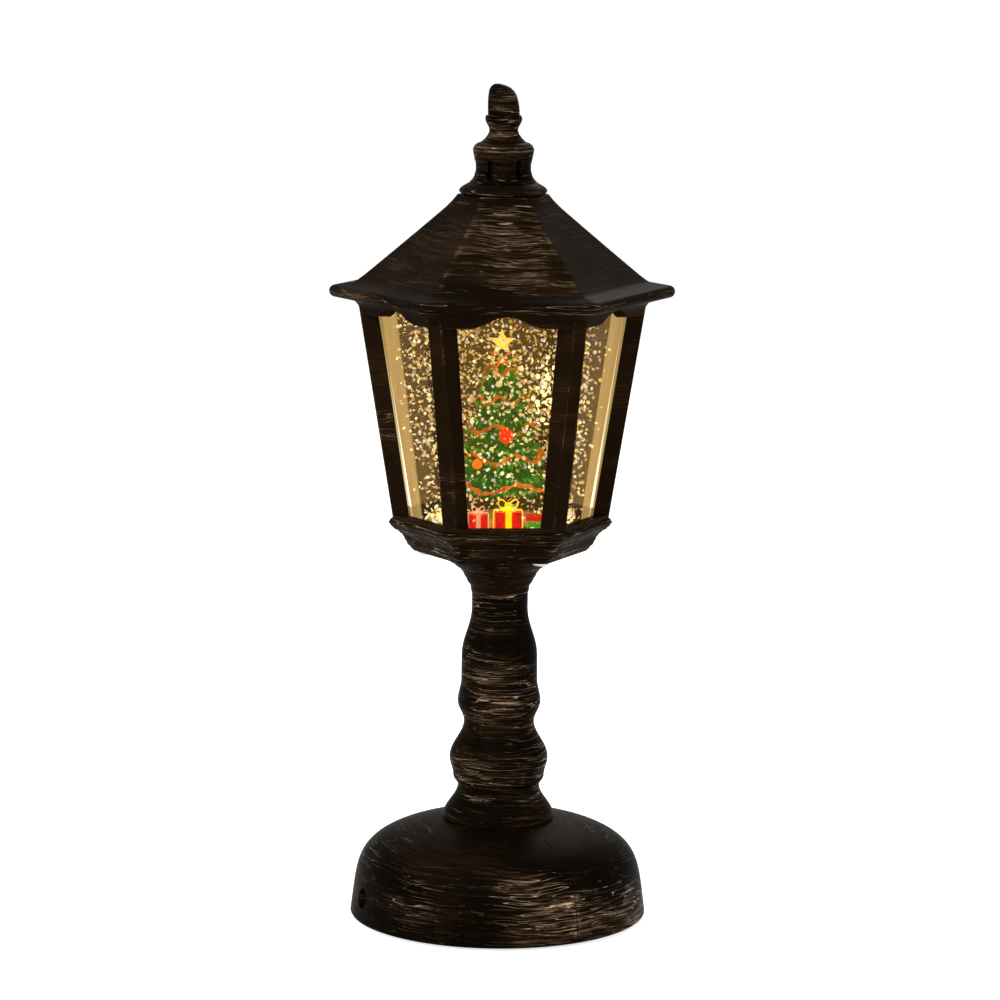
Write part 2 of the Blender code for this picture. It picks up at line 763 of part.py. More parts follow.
def switch_and_board():
    half_x, half_y = switch_width / 2, switch_length / 2
    low = plate_top + fit_gap
    body = box("switch_body", (switch_x - half_x, -half_y, low), (switch_x + half_x, half_y, low + switch_height), "steel")
    slot_x = knob_width / 2 + run_gap
    slot_y = (knob_travel + knob_length) / 2 + run_gap
    knob_top = plate_bottom + knob_rise
    room = ((switch_x - slot_x, -slot_y, low - overrun), (switch_x + slot_x, slot_y, knob_top + run_gap))
    carve(body, box("knob_room", *room))
    off = -knob_travel / 2
    knob_low = (switch_x - knob_width / 2, off - knob_length / 2, plate_bottom - knob_drop)
    knob_high = (switch_x + knob_width / 2, off + knob_length / 2, knob_top)
    box("switch_knob", knob_low, knob_high, "white_nylon")
    board_low = low + switch_height + fit_gap
    left, right = board_x - board_width / 2, board_x + board_width / 2
    board_high = (right, board_length / 2, board_low + board_thickness)
    box("control_board", (left, -board_length / 2, board_low), board_high, "board_green")


def supply_socket():
    """The socket for a supply lead, behind the round hole in the base. Its pin stands in its bore."""
    half = socket_width / 2
    low = (-socket_front, socket_y - half, plate_top + fit_gap)
    top = socket_z + half
    body = box("dc_jack", low, (-socket_front + socket_length, socket_y + half, top), "black_plastic")
    at = (-socket_front, socket_y, socket_z)
    ring = [
        (socket_bore, socket_length - socket_end_wall),
        (socket_bore, -overrun),
        (socket_pin, -overrun),
        (socket_pin, socket_length - socket_end_wall),
    ]
    carve(body, turned("socket_room", ring, coarse_count, at=at, turn=(0, pi / 2, 0), ring=True))
    carve(body, rod("pin_end", socket_bore, -overrun, pin_setback, steps=coarse_count, at=at, turn=(0, pi / 2, 0)))


def wires():
    """The pair that feeds the lights and the motor: over the cell box, up the column, round the motor."""
    board_top = plate_top + switch_height + board_thickness + 2 * fit_gap
    over_box = box_top + 2 * wire_radius + fit_gap
    start_x = board_x - board_width / 2 + 2 * wire_radius
    end = board_ring_bottom - fit_gap
    for name, side in (("wire_red", 1), ("wire_black", -1)):
        start_y = -side * board_length / 4
        points = [
            (start_x, start_y, board_top + fit_gap),
            (start_x, start_y, (board_top + over_box) / 2),
            (start_x * 0.93, start_y * 0.8, over_box),
            (start_x * 0.6, start_y * 0.45, over_box + 2 * wire_radius),
            (start_x * (0.17 + 0.1 * side), start_y * 0.3, base_height - shell_wall),
            (side * wire_apart, 0, base_height + 2 * shell_wall),
            (side * wire_apart, 0, base_height + column_height / 2),
            (side * wire_apart, 0, column_top - shell_wall),
            (side * bore_radius * 0.62, 0, column_top + spigot_height),
            (side * motor_radius * 0.87, 0, can_bottom - 4 * wire_radius),
            (side * (motor_radius + 2 * wire_radius), 0, can_bottom),
            (side * wire_ring, 0, tray_bottom - wire_radius),
            (side * wire_ring, 0, end),
        ]
        curve = bpy.data.curves.new(name, "CURVE")
        curve.dimensions = "3D"
        curve.bevel_depth = wire_radius
        curve.bevel_resolution = 1
        curve.use_fill_caps = True
        smooth = smoothed([Vector(point) for point in points], 3)
        spline = curve.splines.new("POLY")
        spline.points.add(len(smooth) - 1)
        for spot, point in zip(spline.points, smooth):
            spot.co = (*point, 1)
        place(bpy.data.objects.new(name, curve), name)


def smoothed(points, count):
    """A smooth curve through the points, with count steps between each two."""
    ends = [2 * points[0] - points[1], *points, 2 * points[-1] - points[-2]]
    found = []
    for a, b, c, d in zip(ends, ends[1:], ends[2:], ends[3:]):
        for k in range(count):
            t = k / count
            found.append(
                0.5 * (2 * b + (c - a) * t + (2 * a - 5 * b + 4 * c - d) * t**2 + (3 * b - a - 3 * c + d) * t**3)
            )
    return [*found, points[-1]]


def tray():
    """The six-sided dish, with the round flare that stands on the column."""
    spigot_low = frame_bottom - lower_spigot_height
    spigot_corner = tank_corner(frame_bottom) + hex_gap + corner_ease + lower_spigot_wall
    inside = [
        (0, floor_top),
        (tank_base_corner + hex_gap, floor_top),
        (tank_base_corner + hex_gap, tray_ledge),
        (tank_corner(spigot_low) + hex_gap, tray_ledge),
        (tank_corner(spigot_low) + hex_gap, spigot_low - fit_gap),
        (spigot_corner + hex_gap, spigot_low - fit_gap),
        (spigot_corner + hex_gap, tray_top),
    ]
    outside = [(radius * tray_corner, tray_bottom + height * tray_height) for height, radius in tray_shares]
    dish = turned("tray", inside + outside + [(0, tray_bottom)], 6, "brushed_bronze")
    sink = tray_floor / 2  # the flare reaches this far into the floor
    flare = [(0, tray_bottom + sink), (flare_radius, tray_bottom + sink)]
    flare += [(radius * flare_radius, flare_bottom + height * flare_height) for height, radius in flare_shares]
    carve(dish, turned("tray_flare", [*flare, (0, flare_bottom)], fine_count), "UNION")
    bore = spigot_radius + fit_gap
    chamber_low = column_top + spigot_height + fit_gap
    side = [
        (min(radius * flare_radius - flare_wall, motor_radius + chamber_side), flare_bottom + height * flare_height)
        for height, radius in flare_shares
    ]
    side = [point for point in side if point[1] > chamber_low]
    chamber = [
        (0, floor_top + overrun),
        (motor_radius + fit_gap, floor_top + overrun),
        (motor_radius + fit_gap, tray_bottom),
        *side,
        (side[-1][0], chamber_low),
        (bore, chamber_low),
        (bore, flare_bottom - overrun),
        (0, flare_bottom - overrun),
    ]
    carve(dish, turned("motor_chamber", chamber, small_count))
    for side in (-1, 1):
        at = (side * wire_ring, 0, 0)
        hole = rod(f"wire_opening_{side}", wire_hole, tray_bottom - overrun, floor_top + overrun, steps=coarse_count, at=at)
        carve(dish, hole)
    for k, angle in enumerate(tray_screw_angles):
        at = on_ring(tray_screw_ring, angle)
        low = tray_bottom - overrun
        carve(dish, rod(f"tray_hole_{k}", pilot_radius, low, floor_top + overrun, steps=coarse_count, at=at))
        length = tank_boss_top() - tray_bottom
        at = on_ring(tray_screw_ring, angle, tray_bottom - fit_gap - screw_head_height)
        screw(f"tray_screw_{k + 1}", length, at=at)
    return dish


def tank_boss_top():
    """Where the tray screws end, inside the tank's bottom."""
    return base_top_z - tank_base_thickness / 2


def motor_and_disc():
    """The motor hangs by its flange in the tray's floor. Its shaft carries the disc with the drive magnet."""
    bore = shaft_radius + fit_gap
    can = [
        (motor_flange, board_ring_top),
        (motor_flange, board_ring_bottom),
        (motor_radius, board_ring_bottom),
        (motor_radius, can_bottom + fit_gap),
        (motor_radius - fit_gap, can_bottom),
        (0, can_bottom),
        (0, board_ring_top - shaft_depth),
        (bore, board_ring_top - shaft_depth),
        (bore, board_ring_top),
    ]
    turned("motor_can", can, small_count, "steel", ring=True)
    shaft_top = disc_top - disc_web
    shaft = [
        (0, shaft_top - fit_gap),
        (shaft_radius, shaft_top - fit_gap),
        (shaft_radius, board_ring_top - shaft_depth + fit_gap),
        (0, board_ring_top - shaft_depth + fit_gap),
    ]
    turned("motor_shaft", shaft, coarse_count, "steel")
    pocket_floor = disc_bottom + disc_web
    disc = [
        (0, disc_top),
        (magnet_pocket_inner, disc_top),
        (magnet_pocket_inner, pocket_floor),
        (magnet_pocket_outer, pocket_floor),
        (magnet_pocket_outer, disc_top),
        (disc_radius, disc_top),
        (disc_radius, disc_bottom),
        (bore, disc_bottom),
        (bore, shaft_top),
        (0, shaft_top),
    ]
    turned("drive_disc", disc, small_count, "white_nylon")
    magnet = [
        (magnet_pocket_outer - fit_gap, disc_top),
        (magnet_pocket_outer - fit_gap, pocket_floor + fit_gap),
        (magnet_pocket_inner + fit_gap, pocket_floor + fit_gap),
        (magnet_pocket_inner + fit_gap, disc_top),
    ]
    turned("drive_magnet", magnet, small_count, "magnet_grey", ring=True)


def lights():
    """A ring-shaped board round the motor's flange, with three lights that shine up through the tank."""
    inner = motor_flange + run_gap
    ring = [
        (board_ring_outer, board_ring_top),
        (board_ring_outer, board_ring_bottom),
        (inner, board_ring_bottom),
        (inner, board_ring_top),
    ]
    turned("light_board", ring, small_count, "board_green", ring=True)
    straight = light_height - light_radius * 0.6
    for k, angle in enumerate(light_angles):
        outline = [(0, light_height)]
        outline += [
            (light_radius * sin(turn), straight + (light_height - straight) * cos(turn))
            for turn in (radians(30), radians(60), radians(90))
        ]
        outline.append((light_radius, 0))
        outline.append((0, 0))
        at = on_ring(light_ring, angle, board_ring_top + fit_gap)
        turned(f"light_{k + 1}", outline, coarse_count, "light_lens", at=at)


def tank():
    """The clear cup, open below, its clear bottom, the gasket under its edge and the plug in its top."""
    cup = [
        (fill_hole, tank_top),
        (tank_corner(tank_top), tank_top),
        (tank_corner(tank_bottom), tank_bottom),
        (tank_inner_corner(tank_bottom), tank_bottom),
        (tank_inner_corner(tank_ceiling), tank_ceiling),
        (fill_hole, tank_ceiling),
    ]
    turned("tank", cup, 6, "clear_acrylic", ring=True)
    stem = fill_hole * hex_turn - fit_gap
    plug = [
        (0, tank_top + fit_gap + plug_height),
        (plug_radius, tank_top + fit_gap + plug_height),
        (plug_radius, tank_top + fit_gap),
        (stem, tank_top + fit_gap),
        (stem, tank_ceiling),
        (0, tank_ceiling),
    ]
    turned("tank_fill_plug", plug, small_count, "seal_rubber")
    foot = [(0, base_top_z), (tank_base_corner, base_top_z), (tank_base_corner, base_bottom_z), (0, base_bottom_z)]
    bottom = turned("tank_base", foot, 6, "clear_acrylic")
    for k, angle in enumerate(tray_screw_angles):
        at = on_ring(tray_screw_ring, angle)
        low, high = floor_top + fit_gap, base_bottom_z + tank_base_thickness / 4
        carve(bottom, rod(f"tank_boss_{k}", tank_boss_radius, low, high, steps=coarse_count, at=at), "UNION")
        top = tank_boss_top() + fit_gap
        carve(bottom, rod(f"tank_pilot_{k}", pilot_radius, low - overrun, top, steps=coarse_count, at=at))
    pin_seat = base_top_z - tank_base_thickness / 2
    pin_hole = impeller_pin_radius + fit_gap
    carve(bottom, rod("pin_seat", pin_hole, pin_seat, base_top_z + overrun, steps=coarse_count))
    inner = tank_base_corner + hex_gap
    gasket = [
        (tank_corner(tank_bottom), gasket_top),
        (tank_corner(tank_bottom), gasket_top - gasket_thickness),
        (inner, gasket_top - gasket_thickness),
        (inner, gasket_top),
    ]
    turned("tank_gasket", gasket, 6, "seal_rubber", ring=True)


def water():
    """What the tank holds: a solid of the water's outer shape, with one room for the scene."""
    low = terrace_top + fit_gap
    top = tank_ceiling - fit_gap
    room_height = top - water_over - low
    outline = [
        (0, top),
        (tank_inner_corner(top) - hex_gap, top),
        (water_corner(), low),
        (scene_room_corner(), low),
        (scene_room_corner(), low + room_height * room_straight_share),
        (scene_room_corner() * room_top_share, low + room_height),
        (0, low + room_height),
    ]
    turned("glitter_water", outline, 6, "glitter_water")


def water_corner():
    """The water's corner radius over the low ground."""
    return tank_inner_corner(terrace_top + fit_gap) - hex_gap


def scene_room_corner():
    return water_corner() - water_side


def impeller():
    hub = [
        (hub_radius, impeller_top),
        (hub_radius, impeller_bottom),
        (impeller_pin_radius + fit_gap, impeller_bottom),
        (impeller_pin_radius + fit_gap, impeller_top),
    ]
    wheel = turned("impeller", hub, small_count, "white_nylon", ring=True)
    for k in range(blade_count):
        start = (hub_radius + impeller_pin_radius + fit_gap) / 2
        low = (start, -blade_thickness / 2, impeller_top - blade_height)
        blade = box(f"blade_{k}", low, (impeller_radius, blade_thickness / 2, impeller_top))
        spin = Matrix.Rotation(2 * pi * k / blade_count, 4, "Z")
        blade.matrix_world = spin @ Matrix.Translation(blade.location)
        carve(wheel, blade, "UNION")
    high = impeller_top - blade_height - fit_gap
    magnet = [
        (magnet_radius, high),
        (magnet_radius, impeller_bottom),
        (hub_radius + fit_gap, impeller_bottom),
        (hub_radius + fit_gap, high),
    ]
    turned("impeller_magnet", magnet, small_count, "magnet_grey", ring=True)
    seat = base_top_z - tank_base_thickness / 2 + fit_gap
    rod("impeller_pin", impeller_pin_radius, seat, impeller_top, "steel", coarse_count)


def ground():
    """The white ground: a low terrace for the gifts and a hollow mound over the impeller, with flow holes."""
    low = base_top_z + fit_gap
    inner = impeller_radius + mound_room
    outer = inner + mound_wall
    foot = [(0, terrace_top), (tank_base_corner, terrace_top), (tank_base_corner, low), (0, low)]
    cover = turned("scene_ground", foot, 6, "snow_white")
    sunk = terrace_top - fit_gap
    mound = [(0, ground_top), (outer, ground_top), (outer + mound_spread, sunk), (0, sunk)]
    carve(cover, turned("mound", mound, fine_count), "UNION")
    carve(cover, rod("impeller_room", inner, low - overrun, ground_bottom, steps=fine_count))
    for k, angle in enumerate(flow_angles):
        at = on_ring(impeller_radius * flow_ring_share, angle)
        low, high = ground_bottom - overrun, ground_top + overrun
        carve(cover, rod(f"flow_opening_{k}", flow_hole, low, high, steps=coarse_count, at=at))
    seat = ground_bottom + ground_thickness / 2
    carve(cover, rod("trunk_seat", trunk_radius + fit_gap, seat, ground_top + overrun, steps=coarse_count))


def tier_radius(tier):
    widest = water_corner() * hex_turn - tree_clear
    return widest * (1 - (1 - tier_top_share) * tier / (tier_count - 1))


def tree():
    """Trunk, foliage in tiers, star and baubles."""
    seat = ground_bottom + ground_thickness / 2 + fit_gap
    rod("tree_trunk", trunk_radius, seat, tree_bottom - fit_gap, "bark_brown", coarse_count)
    outline = [(0, tree_top)]
    for tier in reversed(range(tier_count)):
        bottom = tree_bottom + tier * tier_pitch
        outline.append((tier_radius(tier), bottom + tier_lip))
        outline.append((tier_radius(tier) - tier_lip, bottom))
        if tier:
            outline.append((tier_radius(tier - 1) * tier_waist_share, bottom))
    outline.append((0, tree_bottom))
    turned("tree_foliage", outline, coarse_count, "needle_green")
    star = bpy.data.curves.new("tree_star", "CURVE")
    star.dimensions = "2D"
    star.fill_mode = "BOTH"
    star.extrude = star_thickness / 2
    spline = star.splines.new("POLY")
    spline.points.add(2 * star_point_count - 1)
    for k, spot in enumerate(spline.points):
        reach = star_radius * (star_inner_share if k % 2 else 1)
        angle = pi / 2 + pi * k / star_point_count
        spot.co = (reach * cos(angle), reach * sin(angle), 0, 1)
    spline.use_cyclic_u = True
    obj = place(bpy.data.objects.new("tree_star", star), "star_yellow")
    obj.location = (0, 0, tree_top + fit_gap + star_radius * star_inner_share)
    obj.rotation_euler = (pi / 2, 0, 0)
    for name, tier, angle, share, finish_name in bauble_shares:
        radius = bauble_radius * share
        height = tree_bottom + tier * tier_pitch + tier_lip
        at = on_ring(tier_radius(tier) + fit_gap + radius, radians(angle), height)
        bm = bmesh.new()
        bmesh.ops.create_uvsphere(bm, u_segments=12, v_segments=8, radius=radius)
        mesh_object(name, bm, finish_name, at=at)


def gift_boxes():
    """Three wrapped boxes in front of the tree, two with a ribbon over them and one with a lid."""
    low = terrace_top + fit_gap
    colours = {"gift_centre": "gift_red", "gift_left": "gift_red", "gift_right": "gift_green"}
    ribbons = {"gift_centre": "ribbon_yellow", "gift_left": "ribbon_white"}
    far = scene_room_corner() * hex_turn - gift_clear
    for name, x_share, y_share, *size_shares in gift_shares:
        x, y = far * x_share, far * y_share
        wide, deep, high = (gift_width * share for share in size_shares)
        top = low + high
        box(name, (x - wide / 2, y - deep / 2, low), (x + wide / 2, y + deep / 2, top), colours[name])
        if name not in ribbons:
            reach_x, reach_y = wide / 2 + lid_reach, deep / 2 + lid_reach
            lid_low = (x - reach_x, y - reach_y, top + fit_gap)
            box(f"{name}_lid", lid_low, (x + reach_x, y + reach_y, top + fit_gap + lid_height), "gift_red")
            continue
        skin = fit_gap + ribbon_thickness
        half = ribbon_width / 2
        across = ((x - wide / 2 - skin, y - half, low), (x + wide / 2 + skin, y + half, top + skin))
        along = ((x - half, y - deep / 2 - skin, low), (x + half, y + deep / 2 + skin, top + skin))
        ribbon = box(f"{name}_ribbon", *across, ribbons[name])
        carve(ribbon, box(f"{name}_ribbon_along", *along), "UNION")
        inside_x, inside_y = wide / 2 + fit_gap, deep / 2 + fit_gap
        inside = ((x - inside_x, y - inside_y, low - overrun), (x + inside_x, y + inside_y, top + fit_gap))
        carve(ribbon, box(f"{name}_ribbon_room", *inside))
        for side in (-1, 1):
            bm = bmesh.new()
            bmesh.ops.create_uvsphere(bm, u_segments=10, v_segments=6, radius=1)
            bmesh.ops.scale(bm, vec=(ribbon_width, half, ribbon_width * 0.7), verts=bm.verts)
            at = (x + side * ribbon_width * 0.8, y, top + skin + ribbon_width * 0.4)
            carve(ribbon, mesh_object(f"{name}_bow_{side}", bm, at=at), "UNION")


def frame_ring(sharp_corner, half_face, height):
    """Twelve points round a hexagon whose corners are cut flat, half_face to each side."""
    radius = sharp_corner - half_face * tan(pi / 6)
    points = []
    for k in range(6):
        out = Vector((cos(k * pi / 3), sin(k * pi / 3), 0))
        across = Vector((-out.y, out.x, 0))
        points += [out * radius + across * side * half_face + Vector((0, 0, height)) for side in (-1, 1)]
    return points


def lofted(name, rings, finish_name=None):
    """A closed band through rings of equal count, the last joined to the first."""
    bm = bmesh.new()
    loops = [[bm.verts.new(point) for point in ring] for ring in rings]
    count = len(rings[0])
    for upper, lower in zip(loops, loops[1:] + loops[:1]):
        for k in range(count):
            bm.faces.new((upper[k], lower[k], lower[(k + 1) % count], upper[(k + 1) % count]))
    bmesh.ops.recalc_face_normals(bm, faces=bm.faces)
    return mesh_object(name, bm, finish_name)


def window_outline():
    """(share of the window's half width, height) points round one window, with its arched head."""
    sill = frame_bottom + sill_height
    head = frame_top - header_height
    arch = [
        (share, head + arch_rise * (1 + cos(pi * share / arch_share)) / 2)
        for share in (arch_share * (1 - k / arch_count) for k in range(2 * arch_count + 1))
    ]
    return [(-1, sill), (1, sill), (1, head), *arch, (-1, head)]


def window_cutter(index):
    """A tapered plug for one window: its flanks run from the tank out to the posts' faces."""
    sill, head = frame_bottom + sill_height, frame_top - header_height
    turn = Matrix.Rotation(index * pi / 3 - pi / 2, 3, "Z")
    rings = []
    for outward in (-1, 1):
        ring = []
        for share, height in window_outline():
            inner_face = (tank_corner(height) + hex_gap + corner_ease) * hex_turn
            sharp = post_radius(height) + post_half_face * tan(pi / 6)
            outer_face = sharp * hex_turn
            along = (height - sill) / (head - sill)
            inner_half = inner_face * tan(pi / 6) - post_foot_half - (post_head_half - post_foot_half) * along
            outer_half = sharp / 2 - post_half_face / hex_turn - flank_margin
            slope = (outer_half - inner_half) / (outer_face - inner_face)
            if outward < 0:
                distance, half = inner_face - overrun, inner_half - slope * overrun
            else:
                far = cornice_reach + overrun
                distance, half = outer_face + far, outer_half + slope * far
            ring.append(turn @ Vector((distance, share * half, 0)) + Vector((0, 0, height)))
        rings.append(ring)
    bm = bmesh.new()
    inner, outer = [[bm.verts.new(point) for point in ring] for ring in rings]
    count = len(inner)
    for k in range(count):
        bm.faces.new((inner[k], inner[(k + 1) % count], outer[(k + 1) % count], outer[k]))
    bm.faces.new(inner)
    bm.faces.new(outer)
    bmesh.ops.recalc_face_normals(bm, faces=bm.faces)
    return mesh_object(f"window_{index}", bm)


def lantern_frame():
    """Six posts between a sill and a header, with a spigot above for the roof and one below for the tray."""
    ease = hex_gap + corner_ease
    sharp = post_half_face * tan(pi / 6)
    spigot_low = frame_bottom - lower_spigot_height
    upper_corner = frame_top_radius + sharp - spigot_step
    lower_corner = tank_corner(frame_bottom) + ease + lower_spigot_wall
    cornice_low = frame_top - cornice_height
    top = frame_top + upper_spigot_height
    outline = [(upper_corner, post_half_face, top), (upper_corner, post_half_face, frame_top)]
    for along in (0, 0.3, 0.65, 1):
        height = frame_top - cornice_height * along
        out = post_radius(cornice_low) + (post_radius(frame_top) + cornice_reach - post_radius(cornice_low)) * (1 - along) ** 2
        outline.append((out + sharp, post_half_face, height))
    outline += [
        (frame_bottom_radius + sharp, post_half_face, frame_bottom),
        (lower_corner, post_half_face, frame_bottom),
        (lower_corner, post_half_face, spigot_low),
        (tank_corner(spigot_low) + ease, inner_half_face, spigot_low),
        (tank_corner(top) + ease, inner_half_face, top),
    ]
    frame = lofted("lantern_frame", [frame_ring(*station) for station in outline], "brushed_bronze")
    for index in range(6):
        carve(frame, window_cutter(index))
    return frame


def roof():
    """The hollow hexagonal roof with its rounded brim and the round collar on top."""
    sharp = post_half_face * tan(pi / 6)
    recess = frame_top_radius + sharp - spigot_step + hex_gap
    recess_top = frame_top + upper_spigot_height + fit_gap
    slope = [(radius * eaves_corner, roof_bottom + height * roof_height) for height, radius in roof_shares]
    nose_radius, nose_height = brim_corner - brim_nose, brim_bottom + brim_nose
    nose = [
        (nose_radius + brim_nose * cos(angle), nose_height + brim_nose * sin(angle))
        for angle in (radians(75 - 165 * k / (nose_count - 1)) for k in range(nose_count))
    ]
    ceiling = roof_top - roof_ceiling
    inside = [(recess, brim_bottom), (recess, recess_top)]
    inside += [(radius - roof_wall, height) for radius, height in reversed(slope) if height < ceiling]
    inside.append((slope[0][0] - roof_wall + roof_ceiling, ceiling))
    bore = chimney_spigot + fit_gap
    inside += [(bore / hex_turn, ceiling), (bore / hex_turn, roof_top)]
    cover = turned("roof", slope + nose + inside, 6, "brushed_bronze", ring=True)
    low = roof_top - roof_ceiling / 2
    collar = [(radius * collar_radius, roof_top + height * collar_height) for height, radius in collar_shares]
    collar += [
        (collar[-1][0], low),
        (bore, low),
        (bore, roof_top + collar_height),
    ]
    carve(cover, turned("roof_collar", collar, fine_count, ring=True), "UNION")
    clear = rod("roof_bore", bore, ceiling - overrun, roof_top + collar_height + overrun)
    carve(cover, clear)


def chimney():
    """The vent under the finial: a hollow drum with six upright slots and a spigot in the roof's collar."""
    outside = [(radius * chimney_radius, chimney_bottom + height * chimney_height) for height, radius in chimney_shares]
    lid_bottom = chimney_top - chimney_lid
    hole = pilot_radius
    outline = [
        (hole, chimney_top),
        *outside,
        (chimney_spigot, chimney_bottom),
        (chimney_spigot, roof_top),
        (chimney_bore, roof_top),
        (chimney_bore, chimney_bottom),
        (chimney_room, chimney_bottom + overrun),
        (chimney_room, lid_bottom),
        (hole, lid_bottom),
    ]
    drum = turned("chimney_vent", outline, fine_count, "brushed_bronze", ring=True)
    straight = slot_height - slot_width
    middle = chimney_bottom + slot_lift
    far = chimney_radius + overrun
    for k, angle in enumerate(slot_angles):
        for part, lift in (("low", -straight / 2), ("high", straight / 2)):
            at = (0, 0, middle + lift)
            turn = (0, pi / 2, angle)
            end = rod(f"slot_{k}_{part}", slot_width / 2, chimney_bore, far, steps=coarse_count, at=at, turn=turn)
            carve(drum, end)
        low = (chimney_bore, -slot_width / 2, middle - straight / 2)
        web = box(f"slot_{k}", low, (far, slot_width / 2, middle + straight / 2))
        web.matrix_world = Matrix.Rotation(angle, 4, "Z") @ Matrix.Translation(web.location)
        carve(drum, web)


def finial():
    """The bud on top, with a blind hole for the screw that comes up through the chimney's lid."""
    outside = [(radius * finial_radius, finial_bottom + height * finial_height) for height, radius in finial_shares]
    hole_top = finial_bottom + finial_screw_depth + fit_gap
    outline = [*outside, (pilot_radius, finial_bottom), (pilot_radius, hole_top), (0, hole_top)]
    turned("finial", outline, small_count, "brushed_bronze")
    head_bottom = chimney_top - chimney_lid - fit_gap - screw_head_height
    screw("finial_screw", finial_bottom + finial_screw_depth - head_bottom - screw_head_height, at=(0, 0, head_bottom))


def main():
    fresh_scene()
    foot_ring()
    post_half("post_half_right", 1)
    post_half("post_half_left", -1)
    base_plate()
    base_screws()
    battery_door()
    cells()
    switch_and_board()
    supply_socket()
    wires()
    tray()
    motor_and_disc()
    lights()
    tank()
    water()
    impeller()
    ground()
    tree()
    gift_boxes()
    lantern_frame()
    roof()
    chimney()
    finial()


main()
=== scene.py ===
# %% [markdown]
# # A christmas lantern
# The lamp is a small plastic copy of an old street lamp. A motor under the tank keeps glitter
# turning in the water, and three lights below make it sparkle. The measured parts come in as a
# fixed model, and each cell here dresses one group of them. A cell first says what the piece is
# on the real lamp, then how it could be made, and then why this way was chosen.

from math import asin, cos, pi, radians, sin, sqrt, tan

import bmesh
import bpy
import numpy as np
from mathutils import Matrix, Vector


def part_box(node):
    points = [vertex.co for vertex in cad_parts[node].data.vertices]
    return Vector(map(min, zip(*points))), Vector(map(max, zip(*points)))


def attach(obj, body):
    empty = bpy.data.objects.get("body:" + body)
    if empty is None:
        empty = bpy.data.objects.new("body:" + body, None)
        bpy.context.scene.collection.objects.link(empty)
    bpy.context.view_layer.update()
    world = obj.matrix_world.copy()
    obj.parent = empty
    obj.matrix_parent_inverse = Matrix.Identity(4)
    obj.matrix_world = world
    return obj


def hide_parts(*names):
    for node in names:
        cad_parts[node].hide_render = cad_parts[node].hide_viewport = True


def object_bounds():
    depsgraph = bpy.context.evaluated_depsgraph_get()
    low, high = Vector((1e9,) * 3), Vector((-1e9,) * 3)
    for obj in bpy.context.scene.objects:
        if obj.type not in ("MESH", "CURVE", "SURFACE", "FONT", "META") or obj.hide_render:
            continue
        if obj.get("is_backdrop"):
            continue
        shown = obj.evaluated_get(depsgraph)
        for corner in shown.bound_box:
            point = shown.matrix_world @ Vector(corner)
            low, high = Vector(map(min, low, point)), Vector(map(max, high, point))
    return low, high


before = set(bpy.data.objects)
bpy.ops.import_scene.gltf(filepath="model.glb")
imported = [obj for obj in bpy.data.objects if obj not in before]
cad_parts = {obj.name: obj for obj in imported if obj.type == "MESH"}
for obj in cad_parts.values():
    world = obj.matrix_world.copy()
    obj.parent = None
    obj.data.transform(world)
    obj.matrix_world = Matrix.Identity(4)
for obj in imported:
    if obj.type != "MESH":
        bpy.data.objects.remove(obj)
cad_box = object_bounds()
MM = 0.001
print(len(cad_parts), "parts, up to", round(cad_box[1].z / MM, 1), "mm high")

# %% [markdown]
# ## Making a mesh
# Nearly every moulded piece here is an outline that was swept round the lamp's axis, as a circle
# or as a hexagon. Blender's Screw modifier could sweep it, but then the rows and columns are hard
# to reach afterwards. The sweep is written out as rings of points, so that a ring can also carry
# a number for how worn it is. Worn edges are where the dark paint shows copper.

# %% Turn points and faces into a piece
weld = 0.002 * MM  # points nearer than this become one


def linked(name, data):
    """A new object in the scene."""
    obj = bpy.data.objects.new(name, data)
    bpy.context.scene.collection.objects.link(obj)
    return obj


def riding(obj, body):
    """Puts an object on a body of the lamp."""
    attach(obj, body)
    return obj


def mesh_of(name, points, faces, **numbers):
    """A mesh. Each keyword gives a number for each point, which a material can read by that name."""
    mesh = bpy.data.meshes.new(name)
    mesh.from_pydata([tuple(point) for point in points], [], faces)
    for label, values in numbers.items():
        mesh.attributes.new(label, "FLOAT", "POINT").data.foreach_set("value", list(values))
    return mesh


def face_outwards(mesh, join=None):
    """Turns a mesh's faces outwards, after joining the points nearer than join."""
    bm = bmesh.new()
    bm.from_mesh(mesh)
    if join:
        bmesh.ops.remove_doubles(bm, verts=bm.verts, dist=join)
    bmesh.ops.recalc_face_normals(bm, faces=bm.faces)
    bm.to_mesh(mesh)
    bm.free()
    return mesh


def smooth(mesh, sharp):
    """Shades a mesh smooth, apart from edges that turn by more than sharp degrees."""
    mesh.polygons.foreach_set("use_smooth", [True] * len(mesh.polygons))
    mesh.set_sharp_from_angle(angle=radians(sharp))


def piece(name, points, faces, worn=None, body="root", slot="brushed_bronze", sharp=35):
    """A mesh that rides on a body. worn is one number for each point, from 0 to 1."""
    mesh = mesh_of(name, points, faces, **({} if worn is None else {"wear": worn}))
    smooth(face_outwards(mesh, weld), sharp)
    return riding(linked(name, mesh), body)


# %% Sweep rings of points into faces
def band(rings, closed_round=True, closed_along=False):
    """Points and faces through rings of equal count."""
    count, points, faces = len(rings[0]), [p for ring in rings for p in ring], []
    rows = len(rings) if closed_along else len(rings) - 1
    columns = count if closed_round else count - 1
    for row in range(rows):
        here, below = row * count, (row + 1) % len(rings) * count
        for k in range(columns):
            after = (k + 1) % count
            faces.append((here + k, below + k, below + after, here + after))
    return points, faces


def capped(rings):
    """Points and faces through two rings, closed at both ends."""
    points, faces = band(rings)
    count = len(rings[0])
    return points, [*faces, tuple(range(count)), tuple(range(2 * count - 1, count - 1, -1))]


